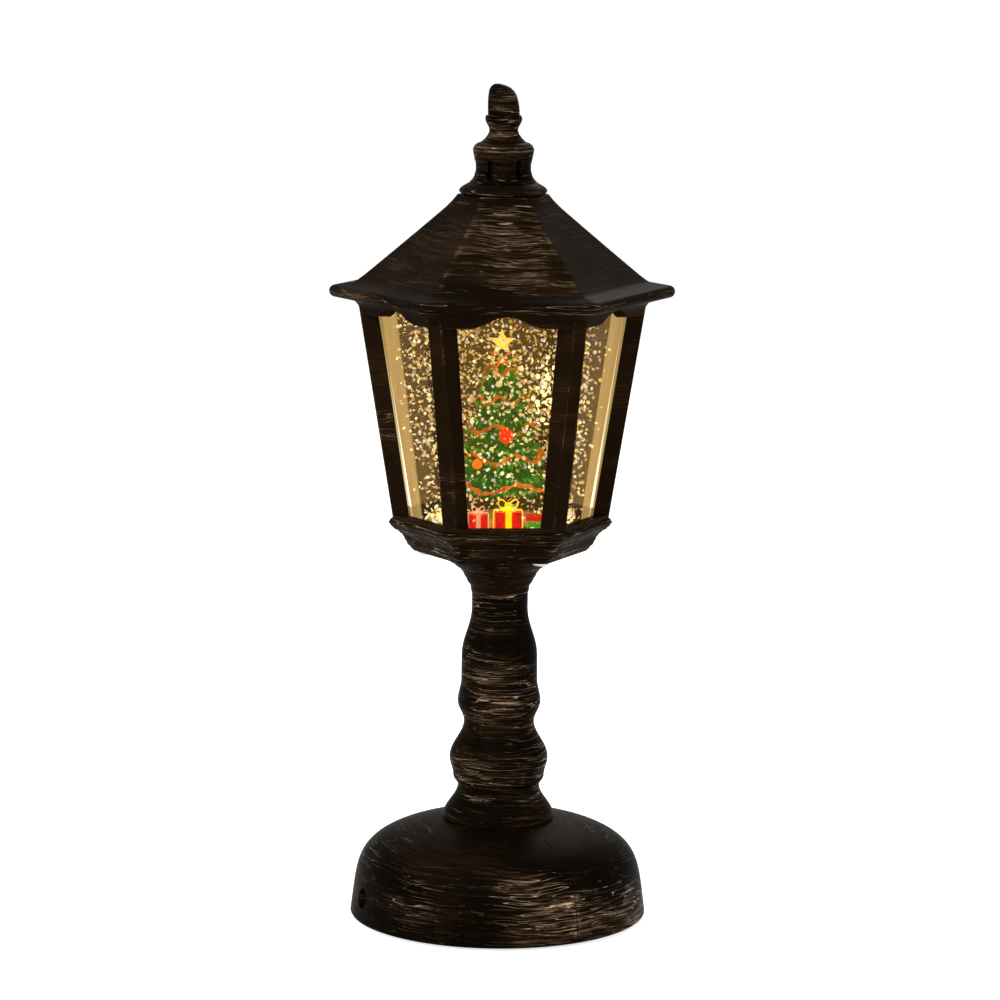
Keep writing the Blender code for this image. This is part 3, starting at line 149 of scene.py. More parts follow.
def joined(parts):
    """The points and faces of several parts as one."""
    points, faces = [], []
    for some, more in parts:
        faces += [tuple(k + len(points) for k in face) for face in more]
        points += some
    return points, faces


def polar(radius, angle, height=0.0):
    return Vector((radius * cos(angle), radius * sin(angle), height))


def circle(radius, height, count=96):
    return [polar(radius, 2 * pi * k / count, height) for k in range(count)]


def worn_rings(outline, count, reach=1.4 * MM, least=0.3 * MM):
    """How worn each ring is: 1 where the outline turns sharply outwards, with count equal values each."""
    values = []
    for k in range(len(outline)):
        here = Vector(outline[k])
        before, after = Vector(outline[k - 1]), Vector(outline[(k + 1) % len(outline)])
        come, go = here - before, after - here
        wear = 0.0
        if min(come.length, go.length) >= 1e-9:
            wear = come.angle_signed(go) * reach / ((come.length + go.length) / 2 + least)
        values += [max(0.0, min(1.0, wear))] * count
    return values


# %% [markdown]
# ## Outlines of the turned parts
# The column is a row of swells: a ball, rings and hollows. Each pair of stations is joined by
# half a cosine wave, because a turner's cut is level at each crest and each hollow. The base's
# shoulder is part of a rounded square, which a superellipse draws with two exponents.


# %% Swells and the shoulder
def swelled(stations, count=8):
    """(share of height, share of radius) stations joined by half cosine waves."""
    points = [stations[0]]
    for (h0, r0), (h1, r1) in zip(stations, stations[1:]):
        for k in range(1, count + 1):
            along = k / count
            points.append((h0 + (h1 - h0) * along, r0 + (r1 - r0) * (1 - cos(pi * along)) / 2))
    return points


def scaled(stations, radius, low, height):
    """Stations as (radius, height) in metres."""
    return [(r * radius, low + h * height) for h, r in stations]


base_radius, base_height, base_foot, base_lean = 46.1 * MM, 31.0 * MM, 1.5 * MM, 3.9 * MM
column_radius, column_height = 15.3 * MM, 71.7 * MM
upright_power, level_power, shoulder_turn = 2 / 5.6, 2 / 1.52, radians(60)
COLUMN = ((1, 0.569), (0.93, 0.567), (0.724, 0.768), (0.616, 0.772), (0.52, 0.843), (0.431, 0.712),
          (0.273, 1), (0.19, 0.925), (0.148, 0.83), (0.01, 1.13))


def shoulder(count, inset=0.0):
    """The base's side from the column's foot down to the floor, drawn in by inset."""
    rise = (base_height - base_foot) / (sin(shoulder_turn) ** upright_power) - inset
    points = []
    for k in range(count, -1, -1):
        angle = shoulder_turn * (k / count) ** 1.5
        share = sin(angle) ** upright_power
        radius = (base_radius - inset - base_lean * share) * cos(angle) ** level_power
        points.append((radius, base_foot + rise * share))
    return points


print("the shoulder starts", round(shoulder(4)[0][0] / MM, 2), "mm from the axis")

# %% [markdown]
# ## Base and column
# The base and column are one hollow shell, moulded in a left and a right half that meet on an
# upright plane. The parting line shows on the base as a fine curved line. A whole turned shell
# with a painted line would be quicker, but two real halves also look right from above and when
# the model is lit from behind. Each column of points starts where the plane cuts its own ring,
# so the two flat sides stay the same distance apart all the way up.

# %% Two halves with a real gap
seam_gap, seam, seam_wear = 0.3 * MM, radians(-60), 0.9
spigot, bore, column_top = 6.5 * MM, 4.5 * MM, base_height + column_height
shell_wall, bore_step, spigot_rise = 2.5 * MM, 2 * MM, 2.6 * MM
foot_round, foot_drop, foot_clear = 2 * MM, 0.9 * MM, 0.6 * MM
outer = [(spigot, column_top + spigot_rise), (spigot, column_top)]
outer += scaled(swelled(COLUMN, 9), column_radius, base_height, column_height) + shoulder(30)
outer += [(base_radius - foot_round * (1 - cos(a)), base_foot - foot_drop * sin(a))
          for a in (radians(degrees) for degrees in (30, 60, 90))]
inner_shoulder = shoulder(6, shell_wall)
inner = [(inner_shoulder[-1][0], foot_clear), *reversed(inner_shoulder)]
inner_column = scaled(swelled(COLUMN, 1), column_radius - shell_wall, base_height, column_height)
inner += [(r, z) for r, z in reversed(inner_column) if inner[-1][1] < z < column_top - bore_step]
inner += [(bore, column_top - bore_step), (bore, column_top + spigot_rise)]
shell_outline = outer + [(max(r, bore), z) for r, z in inner]


def half_shell(name, start, node):
    """Half of the shell, from the seam plane at angle start."""
    count, rings = 72, []
    for radius, height in shell_outline:
        lead = asin(seam_gap / 2 / radius)
        turns = (start + lead + (pi - 2 * lead) * k / count for k in range(count + 1))
        rings.append([polar(radius, turn, height) for turn in turns])
    points, faces = band(rings, closed_round=False, closed_along=True)
    firsts = [row * (count + 1) for row in range(len(rings))]
    faces += [tuple(firsts), tuple(first + count for first in reversed(firsts))]
    worn = worn_rings(shell_outline, count + 1)
    for first in firsts:
        worn[first] = worn[first + count] = seam_wear
    made = piece(name, points, faces, worn)
    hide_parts(node)
    return made


shell_right = half_shell("shell_right", seam, "post_half_right")
shell_left = half_shell("shell_left", seam + pi, "post_half_left")
print("each half has", len(shell_left.data.vertices), "points")

# %% [markdown]
# The supply socket sits behind a round hole in the left half. A hole could be modelled into the
# rings by hand, but the wall curves two ways there, so a Boolean cut with a cylinder is cleaner.
# The modifier is applied at once, and the cutter is thrown away.


# %% Drill the socket's hole
def cut(target, cutters, sharp=None):
    """Takes the cutters' space away from the target's mesh, then removes them."""
    for cutter in cutters:
        modifier = target.modifiers.new(cutter.name, "BOOLEAN")
        modifier.object = cutter
    graph = bpy.context.evaluated_depsgraph_get()
    shaped = bpy.data.meshes.new_from_object(target.evaluated_get(graph))
    target.modifiers.clear()
    target.data = shaped
    for cutter in cutters:
        bpy.data.objects.remove(cutter)
    if sharp:
        smooth(target.data, sharp)


def plug(name, radius, low, high, place, count=48):
    """An upright cylinder from low to high for cutting, moved by a matrix."""
    bm = bmesh.new()
    shift = place @ Matrix.Translation((0, 0, (low + high) / 2))
    bmesh.ops.create_cone(bm, cap_ends=True, segments=count, radius1=radius, radius2=radius,
                          depth=high - low, matrix=shift)
    mesh = bpy.data.meshes.new(name)
    bm.to_mesh(mesh)
    bm.free()
    return linked(name, mesh)


socket_y, socket_z, drill_radius, drill_from, drill_to = -14.8 * MM, 8.65 * MM, 3.1 * MM, -48 * MM, -36.3 * MM
sideways = Matrix.Translation((0, socket_y, socket_z)) @ Matrix.Rotation(pi / 2, 4, "Y")
cut(shell_left, [plug("socket_drill", drill_radius, drill_from, drill_to, sideways)], 35)
print("the left half has", len(shell_left.data.polygons), "faces with its hole")

# %% [markdown]
# A moulded half often has a lip that the other half slips over. The measured halves have none, so
# one could look straight through the column along its seam. Two dark strips inside the wall stop
# that, and a whole inner tube would only hide the same thing with more faces.

# %% Lip behind the parting line
lip_low, lip_high, lip_inner, lip_outer, lip_half = 31 * MM, 102 * MM, 5.0 * MM, 6.2 * MM, 0.6 * MM
LIP_CORNERS = ((lip_inner, -lip_half), (lip_outer, -lip_half), (lip_outer, lip_half), (lip_inner, lip_half))
BOX_FACES = ((0, 1, 5, 4), (1, 2, 6, 5), (2, 3, 7, 6), (3, 0, 4, 7), (3, 2, 1, 0), (4, 5, 6, 7))


def lip_strip(angle):
    """Points and faces of one upright strip behind the seam."""
    turn = Matrix.Rotation(angle, 3, "Z")
    corners = [(out, side, z) for z in (lip_low, lip_high) for out, side in LIP_CORNERS]
    return [turn @ Vector(corner) for corner in corners], BOX_FACES


seam_lip = piece("seam_lip", *joined(lip_strip(angle) for angle in (seam, seam + pi)), slot="black_plastic")
print("the lip is", round((lip_high - lip_low) / MM), "mm long")

# %% [markdown]
# ## Six-sided parts
# The tray, the lantern frame and the roof are hexagons with a corner on the X axis. A six-step
# Screw gives knife-sharp corners, which no moulding has. Each ring here has a small arc at every
# corner, and a pair of extra points beside it. They keep the wear of a corner from spreading
# over the whole flat side.

# %% A hexagon with rounded corners
arc_steps = 4
corner_points = arc_steps + 3  # the arc's points and one on each side of it


def hexagon(corner, height, round_off=0.8 * MM, margin=1.6 * MM):
    """A ring of points round a hexagon whose sharp corner radius is given."""
    if corner < 1e-6:
        return [Vector((0, 0, height))] * (6 * corner_points)
    round_off, margin = min(round_off, corner * 0.3), min(margin, corner * 0.2)
    points, inset = [], round_off / cos(pi / 6)
    for k in range(6):
        out = k * pi / 3
        middle = polar(1, out) * (corner - inset)
        turns = (out - pi / 6 + pi / 3 * j / arc_steps for j in range(arc_steps + 1))
        rim = [middle + polar(1, turn) * round_off for turn in turns]
        back, ahead = (polar(1, out + side * pi * 2 / 3) * margin for side in (-1, 1))
        points += [rim[0] + back, *rim, rim[-1] + ahead]
    return [Vector((p.x, p.y, height)) for p in points]


def hexagonal(outline, round_off=0.8 * MM, corner_wear=0.7):
    """Points, faces and wear of a closed hexagonal sweep of (corner radius, height)."""
    rings = [hexagon(r, z, round_off) for r, z in outline]
    points, faces = band(rings, closed_along=True)
    worn = worn_rings(outline, len(rings[0]))
    for k in range(len(worn)):
        if 1 <= k % corner_points <= arc_steps + 1:
            worn[k] = max(worn[k], corner_wear)
    return points, faces, worn


def turned(outline, count=96):
    """Points, faces and wear of a closed circular sweep of (radius, height)."""
    points, faces = band([circle(r, z, count) for r, z in outline], closed_along=True)
    return points, faces, worn_rings(outline, count)


# %% [markdown]
# ## Tray and flare
# The tray is the six-sided dish that the tank stands in, with a round flare below it that plugs
# onto the column. They are one moulding, made here as two closed sweeps that overlap. A Boolean
# union would make one skin, but nothing of the joint shows, and the sweeps keep clean rows.

# %% Sweep the tray
FLARE = ((1, 1), (0.82, 0.83), (0.66, 0.7), (0.57, 0.62), (0.45, 0.57), (0.28, 0.515),
         (0.13, 0.457), (0, 0.447))
TRAY = ((1, 0.974), (0.93, 0.991), (0.86, 1), (0.78, 0.983), (0.68, 0.955), (0.59, 0.911), (0.49, 0.879),
        (0.41, 0.862), (0.22, 0.836), (0.1, 0.802), (0, 0.775))
# (radius, height) in mm, from the motor's hole over the floor and the ledge up to the rim
TRAY_INSIDE = ((7.3, 115.6), (7.3, 117.2), (26.6, 117.2), (26.6, 121.1), (29.7, 121.1), (29.7, 123.5),
               (32.5, 123.5), (32.5, 125.9))
tray_bottom, tray_top, tray_corner = 115.6 * MM, 125.9 * MM, 34.8 * MM
screw_ring, screw_way, wire_ring, wire_way = 22.9 * MM, 1.5 * MM, 9.6 * MM, 1.2 * MM
way_low, way_high = 114 * MM, 119 * MM
dish_outline = [(r * tray_corner, tray_bottom + h * (tray_top - tray_bottom)) for h, r in swelled(TRAY, 3)]
dish_outline += [(r * MM, z * MM) for r, z in TRAY_INSIDE]
tray_dish = piece("tray_dish", *hexagonal(dish_outline, 1.2 * MM, 0.5))
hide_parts("tray")
ways = [(f"screw_way_{k}", screw_way, polar(screw_ring, a)) for k, a in enumerate((pi / 3, pi, 5 * pi / 3))]
ways += [(f"wire_way_{side}", wire_way, (side * wire_ring, 0, 0)) for side in (-1, 1)]
cut(tray_dish, [plug(name, radius, way_low, way_high, Matrix.Translation(place), 24)
                for name, radius, place in ways], 35)

flare_bottom, flare_radius, flare_wall, overlap = 103.0 * MM, 20.0 * MM, 1.2 * MM, 0.4 * MM
sleeve_radius, sleeve_top, flare_bore = 6.8 * MM, 105.6 * MM, 10.9 * MM
flare_side = scaled(swelled(FLARE, 3), flare_radius, flare_bottom, tray_bottom - flare_bottom)
flare_outline = [(flare_radius, tray_bottom + overlap), *flare_side]
flare_outline += [(sleeve_radius, flare_bottom), (sleeve_radius, sleeve_top)]
flare_inside = [(min(r - flare_wall, flare_bore), z) for r, z in reversed(flare_side)]
flare_outline += [(r, z) for r, z in flare_inside if sleeve_top < z < 115 * MM]
flare_outline += [(flare_bore, tray_bottom - 0.1 * MM), (flare_bore, tray_bottom + overlap)]
tray_flare = piece("tray_flare", *turned(flare_outline))
print("tray and flare from", round(flare_bottom / MM, 1), "to", round(tray_top / MM, 1), "mm")

# %% [markdown]
# ## Lantern frame
# Six posts lean outwards between a sill and a header with an arch over each window. The posts
# have a flat outer strip and flanks that slant in to the glass. The whole frame is lofted as a
# band of twelve-sided rings, and six tapered window plugs are cut from it, much as a mould's side
# cores would shape it. A Bevel modifier then eases every edge. It gives the eased strips a second
# material, because that is where a dry brush leaves most of its copper.

# %% Frame sizes
frame_bottom, frame_top, post_face, lean = 126.2 * MM, 194.2 * MM, 2.0 * MM, tan(radians(9.205))
post_foot, glass_inset, glass_clear = 33.36 * MM, 3.596 * MM, 0.6 * MM
sharp_more = post_face * tan(pi / 6)


def post_radius(height):
    return post_foot + (height - frame_bottom) * lean


def tank_corner(height):
    return post_radius(height) - glass_inset


def cut_hexagon(corner, face, height):
    """Twelve points round a hexagon whose corners are cut flat, face to each side."""
    radius, points = corner - face * tan(pi / 6), []
    for k in range(6):
        out = polar(1, k * pi / 3)
        across = Vector((-out.y, out.x, 0))
        points += [out * radius + across * side * face + Vector((0, 0, height)) for side in (-1, 1)]
    return points


# %% Window plugs
sill, head, arch_rise, arch_share, arch_half_steps = 127.2 * MM, 189.6 * MM, 3.7 * MM, 0.6, 14
inner_strip, strip_growth, outer_strip, plug_inside, plug_outside = 4.36, 0.84, 0.4 * MM, -MM, 3 * MM
window = [(share, head + arch_rise * (1 + cos(pi * share / arch_share)) / 2)
          for share in (arch_share * (1 - k / arch_half_steps) for k in range(2 * arch_half_steps + 1))]
window = [(-1, sill), (1, sill), (1, head), *window, (-1, head)]


def window_plug(index):
    """A tapered plug for one window: its flanks run from the tank out to the posts' faces."""
    turn, rings = Matrix.Rotation(index * pi / 3 - pi / 2, 3, "Z"), [[], []]
    for outward, ring in enumerate(rings):
        for share, height in window:
            near = (tank_corner(height) + glass_clear) * cos(pi / 6)
            corner = post_radius(height) + sharp_more
            far = corner * cos(pi / 6)
            along = (height - sill) / (head - sill)
            near_half = near * tan(pi / 6) - (inner_strip + strip_growth * along) * MM
            far_half = corner / 2 - post_face / cos(pi / 6) - outer_strip
            slant = (far_half - near_half) / (far - near)
            reach = far - near + plug_outside if outward else plug_inside
            place = turn @ Vector((near + reach, share * (near_half + slant * reach), 0))
            ring.append(place + Vector((0, 0, height)))
    return linked(f"window_{index}", face_outwards(mesh_of(f"window_{index}", *capped(rings))))


# %% Cut and ease the frame
cove_drop, cove_out, top_clear, rim_rise = 3.2 * MM, 2 * MM, 0.3 * MM, 2.8 * MM
skirt_radius, skirt_low, inner_top, inner_face = 32.16 * MM, 123.8 * MM, 197 * MM, 0.4 * MM
top_corner, cove_low = post_radius(frame_top) + sharp_more - top_clear, post_radius(frame_top - cove_drop)
frame_outline = [(top_corner, post_face, frame_top + rim_rise), (top_corner, post_face, frame_top)]
for along in (0, 0.12, 0.25, 0.4, 0.55, 0.7, 0.85, 1):
    out = cove_low + (post_radius(frame_top) + cove_out - cove_low) * (1 - along) ** 2
    frame_outline.append((out + sharp_more, post_face, frame_top - cove_drop * along))
frame_outline += [(post_radius(frame_bottom) + sharp_more, post_face, frame_bottom),
                  (skirt_radius, post_face, frame_bottom), (skirt_radius, post_face, skirt_low)]
frame_outline += [(tank_corner(z) + glass_clear, inner_face, z) for z in (skirt_low, inner_top)]
frame_rings = [cut_hexagon(*station) for station in frame_outline]
frame_body = piece("frame_posts", *band(frame_rings, closed_along=True))
cut(frame_body, [window_plug(k) for k in range(6)], 28)
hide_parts("lantern_frame")
bevel = frame_body.modifiers.new("ease", "BEVEL")
bevel.width, bevel.segments, bevel.limit_method, bevel.angle_limit = 0.28 * MM, 2, "ANGLE", radians(28)
bevel.material, bevel.use_clamp_overlap, bevel.harden_normals = 1, True, True
print("the frame has", len(frame_body.data.polygons), "faces before its edges are eased")

# %% [markdown]
# ## Roof and collar
# The roof is a hollow six-sided hood with a rounded brim, and a round collar carries the vent.
# Its sides are nearly straight with a flare at the foot and a kick at the top. The sweep follows
# the same stations as the measured part, close enough together that the sides look smooth.

# %% Sweep the roof
ROOF = ((1, 0.308), (0.93, 0.342), (0.86, 0.383), (0.793, 0.4285), (0.6, 0.563), (0.35, 0.739), (0.16, 0.874),
        (0.08, 0.932), (0.03, 0.972), (0, 1))
COLLAR = ((1, 0.77), (0.85, 0.83), (0.67, 0.919), (0.5, 0.975), (0.36, 1), (0.2, 0.995),
          (0.1, 0.96), (0, 0.87))
roof_low, roof_high, eaves, roof_wall = 199.1 * MM, 226.2 * MM, 45.65 * MM, 2.8 * MM
nose_out, nose_height, nose_radius = 51.33 * MM, 196.4 * MM, 1.9 * MM
collar_radius, collar_rise, collar_bore, collar_low = 13.5 * MM, 3.6 * MM, 6.5 * MM, 225.2 * MM
nose = [(nose_out + nose_radius * cos(a), nose_height + nose_radius * sin(a))
        for a in (radians(degrees) for degrees in range(75, -91, -15))]
slope = scaled(ROOF, eaves, roof_low, roof_high - roof_low)
under = [(45.6 * MM, 194.5 * MM), (45.6 * MM, 197.3 * MM)]
under += [(r - roof_wall, z) for r, z in reversed(slope) if z < 224 * MM]
under += [(8 * MM, 224.2 * MM), (7.4 * MM, roof_high)]
roof_hood = piece("roof_hood", *hexagonal(slope + nose + under, 0.9 * MM, 0.75))
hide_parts("roof")
collar = scaled(COLLAR, collar_radius, roof_high, collar_rise)
collar += [(collar[-1][0], collar_low), (collar_bore, collar_low), (collar_bore, roof_high + collar_rise)]
roof_collar = piece("roof_collar", *turned(collar))
print("the brim reaches", round(nose[5][0] / MM, 1), "mm from the axis")

# %% [markdown]
# ## Vent
# The vent under the finial is a little drum with a domed head and six upright slots that let
# the heat of an old lamp out. Here they only decorate. The drum is turned, and round-ended
# plugs are cut from it. A dark liner behind the slots is painted shade: it stands for the dark
# inside of the drum and keeps one from seeing through it. A drum with no hollow would need no
# liner, but then the slots would look painted on.

# %% Turn the vent and cut its slots
VENT = ((1, 0.745), (0.96, 0.87), (0.9, 0.96), (0.81, 1), (0.72, 0.98), (0.6, 0.95), (0.42, 0.9), (0.29, 0.9),
        (0.15, 0.945), (0.06, 1), (0, 1.08))
# (radius, height) in mm, from the drum's foot round its spigot and up inside
VENT_INSIDE = ((6.2, 230.1), (6.2, 226.2), (4.9, 226.2), (4.9, 230.1), (7, 231.1), (7, 239.5), (1.5, 239.5))
SHADE_LINER = ((6.9, 231.4), (6.9, 239.2), (6.5, 239.2), (6.5, 231.4))
vent_low, vent_high, vent_radius, vent_height, vent_hole = 230.1 * MM, 242.1 * MM, 9.4 * MM, 12 * MM, 1.5 * MM
slot_radius, slot_ends, slot_reach, slot_steps = MM, (236.2, 232.0), (5 * MM, 10.5 * MM), 12
vent = [(vent_hole, vent_high), *scaled(swelled(VENT, 3), vent_radius, vent_low, vent_height)]
vent += [(r * MM, z * MM) for r, z in VENT_INSIDE]
vent_drum = piece("vent_drum", *turned(vent, 120))
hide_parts("chimney_vent")


def slot_plug(angle):
    """A round-ended upright plug that points outwards at an angle."""
    rings = []
    for far in slot_reach:
        ring = []
        for start, middle in zip((0, pi), slot_ends):
            for k in range(slot_steps + 1):
                turn = start + pi * k / slot_steps
                ring.append(Vector((far, slot_radius * cos(turn), middle * MM + slot_radius * sin(turn))))
        rings.append([Matrix.Rotation(angle, 3, "Z") @ p for p in ring])
    return linked("slot", face_outwards(mesh_of("slot", *capped(rings))))


cut(vent_drum, [slot_plug(radians(60 * k)) for k in range(6)], 35)
# The liner is painted shade behind the slots.
vent_shade_liner = piece("vent_shade_liner", *turned([(r * MM, z * MM) for r, z in SHADE_LINER], 60)[:2], slot="black_plastic")
print("the vent has", len(vent_drum.data.polygons), "faces with its slots")

# %% [markdown]
# ## Finial
# The finial is a bud in a calyx. The calyx's rim is cut into pointed petals that stand a little
# off the bud, and the bud's top slants. Both start as turned outlines. Then each point is moved
# by where it stands: a cosine lifts the petals' tips, and a shear tilts the bud's top.

# %% Shape the calyx and the bud
# (height, radius) in mm above the finial's foot
CALYX = ((0, 6.6), (0.9, 5.6), (2.1, 4.75), (3.3, 4.35), (4.3, 4.6), (5.4, 5.2), (6.4, 5.55), (7.0, 5.6))
BUD = ((6.0, 4.4), (8.0, 4.85), (9.6, 4.85), (11.6, 4.75), (13.2, 4.5), (14.6, 4.15), (15.6, 3.5),
       (16.4, 2.5), (16.75, 1.2), (16.85, 0))
finial_low, petals, petal_low, petal_height, petal_rise = 242.4 * MM, 6, 5 * MM, 2 * MM, 1.1 * MM
slant_low, slant_height, slant_shift, slant_rise = 9 * MM, 8 * MM, 0.5 * MM, 0.45 * MM
calyx_steps, bud_steps, petal_wall = 120, 96, 0.7


def shaped_rings(stations, count, move):
    """Rings of points at (height, radius) stations in mm above the finial's foot, each moved."""
    turns = [2 * pi * k / count for k in range(count)]
    return [[move(radius * MM, turn, height * MM) for turn in turns] for height, radius in stations]


def petal(radius, angle, height):
    lift = max(0.0, height - petal_low) / petal_height
    wave = abs(cos(petals / 2 * (angle + pi / 2)))
    return polar(radius * (1 + 0.03 * lift * wave), angle,
                 finial_low + height + petal_rise * lift * (wave ** 1.5 - 0.35))


def slanted(radius, angle, height):
    tilt = max(0.0, height - slant_low) / slant_height
    x, y = radius * cos(angle), radius * sin(angle)
    return Vector((x - slant_shift * tilt, y, finial_low + height + tilt * (slant_rise - 0.25 * x)))


outside = shaped_rings(CALYX, calyx_steps, petal)
lining = shaped_rings([(h, r - petal_wall) for h, r in reversed(CALYX[-3:])], calyx_steps, petal)
closing = [[Vector((0, 0, finial_low + z * MM))] * calyx_steps for z in (5.2, 0)]
worn = worn_rings([(r * MM, -h * MM) for h, r in CALYX], calyx_steps)
worn += [0.6] * calyx_steps + [0.0] * (4 * calyx_steps)
finial_calyx = piece("finial_calyx", *band([*outside, *lining, *closing], closed_along=True), worn)
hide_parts("finial")
points, faces = band(shaped_rings(BUD, bud_steps, slanted))
faces.append(tuple(range(bud_steps - 1, -1, -1)))
finial_bud = piece("finial_bud", points, faces, [0.15] * len(points))
print("the bud's top is at", round(max(v.co.z for v in finial_bud.data.vertices) / MM, 2), "mm")

# %% [markdown]
# ## Building materials
# A material is a little graph of nodes. Written out link by link it is long and hard to read,
# so one helper adds a node, sets its values and links what it is given.


# %% Node helpers
def feed(tree, inputs, values):
    """Sets inputs by name or number, from a plain value or another node's output."""
    for key, value in values.items():
        if isinstance(value, bpy.types.NodeSocket):
            tree.links.new(value, inputs[key])
        else:
            inputs[key].default_value = value


def node(tree, kind, values=None, **settings):
    made = tree.nodes.new(f"ShaderNode{kind}")
    for key, value in settings.items():
        setattr(made, key, value)
    feed(tree, made.inputs, values or {})
    return made


def math(tree, operation, *values, clamp=False):
    return node(tree, "Math", dict(enumerate(values)), operation=operation, use_clamp=clamp).outputs[0]


def times(tree, *values, clamp=False):
    return math(tree, "MULTIPLY", *values, clamp=clamp)


def plus(tree, *values, clamp=False):
    return math(tree, "ADD", *values, clamp=clamp)


def minus(tree, *values):
    return math(tree, "SUBTRACT", *values)


def ramp(tree, value, low, high, start=0.0, end=1.0):
    """Value from low to high as a smooth step from start to end."""
    limits = {"Value": value, "From Min": low, "From Max": high, "To Min": start, "To Max": end}
    return node(tree, "MapRange", limits, interpolation_type="SMOOTHSTEP").outputs["Result"]


def mixed(tree, share, first, second):
    """One colour over another by a share."""
    return node(tree, "Mix", {"Factor": share, "A": first, "B": second}, data_type="RGBA").outputs["Result"]


def place_in(tree):
    """The place of a point in the lamp's own space, so that a pattern moves with its piece."""
    return node(tree, "TexCoord").outputs["Object"]


def split(tree, vector):
    """The three parts of a place or a direction."""
    return node(tree, "SeparateXYZ", {0: vector}).outputs


def facing(tree, axis):
    """How far the surface faces along an axis, from -1 to 1."""
    return split(tree, node(tree, "NewGeometry").outputs["Normal"])[axis]


def noise(tree, place, scale, detail=2.0, rough=0.5):
    values = {"Vector": place, "Scale": scale, "Detail": detail, "Roughness": rough, "Distortion": 0.0}
    return node(tree, "TexNoise", values).outputs["Fac"]


def stretched(tree, place, x, y, z):
    """A place multiplied by a size for each axis, so that a pattern gets long one way."""
    return node(tree, "VectorMath", {0: place, 1: (x, y, z)}, operation="MULTIPLY").outputs[0]


def bumped(tree, strength, distance, height):
    """A normal that a height moves."""
    values = {"Strength": strength, "Distance": distance, "Height": height}
    return node(tree, "Bump", values).outputs["Normal"]


def effect(name, inputs, outputs):
    """A shader node group: its tree, its given inputs and the sockets for its results."""
    tree = bpy.data.node_groups.new(name, "ShaderNodeTree")
    for label, default in inputs.items():
        socket = tree.interface.new_socket(label, in_out="INPUT", socket_type="NodeSocketFloat")
        socket.default_value = default
    for label in outputs:
        tree.interface.new_socket(label, in_out="OUTPUT", socket_type="NodeSocketFloat")
    return tree, tree.nodes.new("NodeGroupInput").outputs, tree.nodes.new("NodeGroupOutput").inputs


def finish(name):
    """A new material with its tree and the inputs of its Principled shader."""
    material = bpy.data.materials.new(name)
    material.use_nodes = True
    return material, material.node_tree, material.node_tree.nodes["Principled BSDF"].inputs


def dress(material, *objects):
    """Puts a material on every slot of these pieces or nodes."""
    for obj in objects:
        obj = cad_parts[obj] if isinstance(obj, str) else obj
        if not obj.data.materials:
            obj.data.materials.append(material)
        for slot in obj.material_slots:
            slot.material = material


# %% [markdown]
# ## Dry brushed bronze
# The lamp is moulded in black plastic, and somebody dragged a nearly dry brush of copper paint
# along it. The bristles leave fine broken lines where they touch, mostly on edges and crowns,
# and a thin brown veil between them. A picture of brush strokes would smear round the turned
# parts. Noise in the lamp's own space, pulled long and flat, gives strokes that run level round
# every part. The effect is a group, because the roof, the column and the posts were each brushed
# with another weight of hand. Where the copper turns light it is partly thick paint and partly a
# painted highlight, and on the roof's flanks fewer strokes show, as painted shade.

# %% The brush as a group
brush, given, result = effect(
    "dry_brush", {"Length": 70.0, "Fineness": 2300.0, "Cover": 0.5, "Tilt": 0.0, "Edge": 0.5, "Press": 0.3},
    ("Stroke", "Veil", "Copper_and_highlight", "Height"))
place = place_in(brush)
drift = noise(brush, place, 60.0, 1.0)
x, y, z = split(brush, place)
wander = times(brush, drift, 0.0022)
level = plus(brush, plus(brush, z, times(brush, x, given["Tilt"])), wander)
across = node(brush, "CombineXYZ", {0: times(brush, x, given["Length"]), 1: times(brush, y, given["Length"]),
                                    2: times(brush, level, given["Fineness"])}).outputs[0]
bristles = noise(brush, across, 1.0)
hairs = noise(brush, stretched(brush, across, 0.45, 0.45, 0.24), 1.0, 1.0)
breaks = noise(brush, stretched(brush, across, 5.0, 5.0, 0.6), 1.0)
patches = noise(brush, stretched(brush, place, 32.0, 32.0, 75.0), 1.0, 2.0, 0.6)
edge = times(brush, node(brush, "Attribute", attribute_name="wear").outputs["Fac"], given["Edge"])
load = plus(brush, times(brush, ramp(brush, patches, 0.3, 0.66, 0.12), given["Cover"]), edge)
lines = ramp(brush, minus(brush, bristles, minus(brush, 0.74, times(brush, load, 0.24))), 0.0, 0.06)
thin = ramp(brush, math(brush, "ABSOLUTE", minus(brush, hairs, 0.5)), 0.003, 0.015, 1.0, 0.0)
hair = times(brush, thin, ramp(brush, plus(brush, breaks, load), 0.62, 0.95))
faint = times(brush, lines, ramp(brush, breaks, 0.36, 0.56, 0.12, 0.5))
# Strokes fade where the surface faces up, because the brush went along the sides.
level_ground = ramp(brush, facing(brush, 2), 0.6, 0.88, 1.0, 0.1)
stroke = times(brush, math(brush, "MAXIMUM", faint, hair), level_ground, clamp=True)
# Painted highlight: large patches and worn edges turn the copper light. This is partly thick paint and partly
# a painted highlight.
low_press = minus(brush, 0.62, times(brush, given["Press"], 0.3))
big = noise(brush, stretched(brush, place, 26.0, 26.0, 48.0), 1.0, 1.0)
press_and_highlight = times(brush, minus(brush, big, low_press), 8.0, clamp=True)
press_and_highlight = plus(brush, press_and_highlight, times(brush, edge, 0.9), clamp=True)
dabs = ramp(brush, noise(brush, stretched(brush, across, 0.7, 0.7, 0.2), 1.0), 0.38, 0.62, 0.1)
feed(brush, result, {
    "Stroke": stroke,
    "Veil": times(brush, ramp(brush, patches, 0.4, 0.75), ramp(brush, bristles, 0.3, 0.62), clamp=True),
    "Copper_and_highlight": times(brush, dabs, press_and_highlight),
    "Height": plus(brush, stroke, times(brush, bristles, 0.25)),
})
print("the brush has", len(brush.nodes), "nodes")


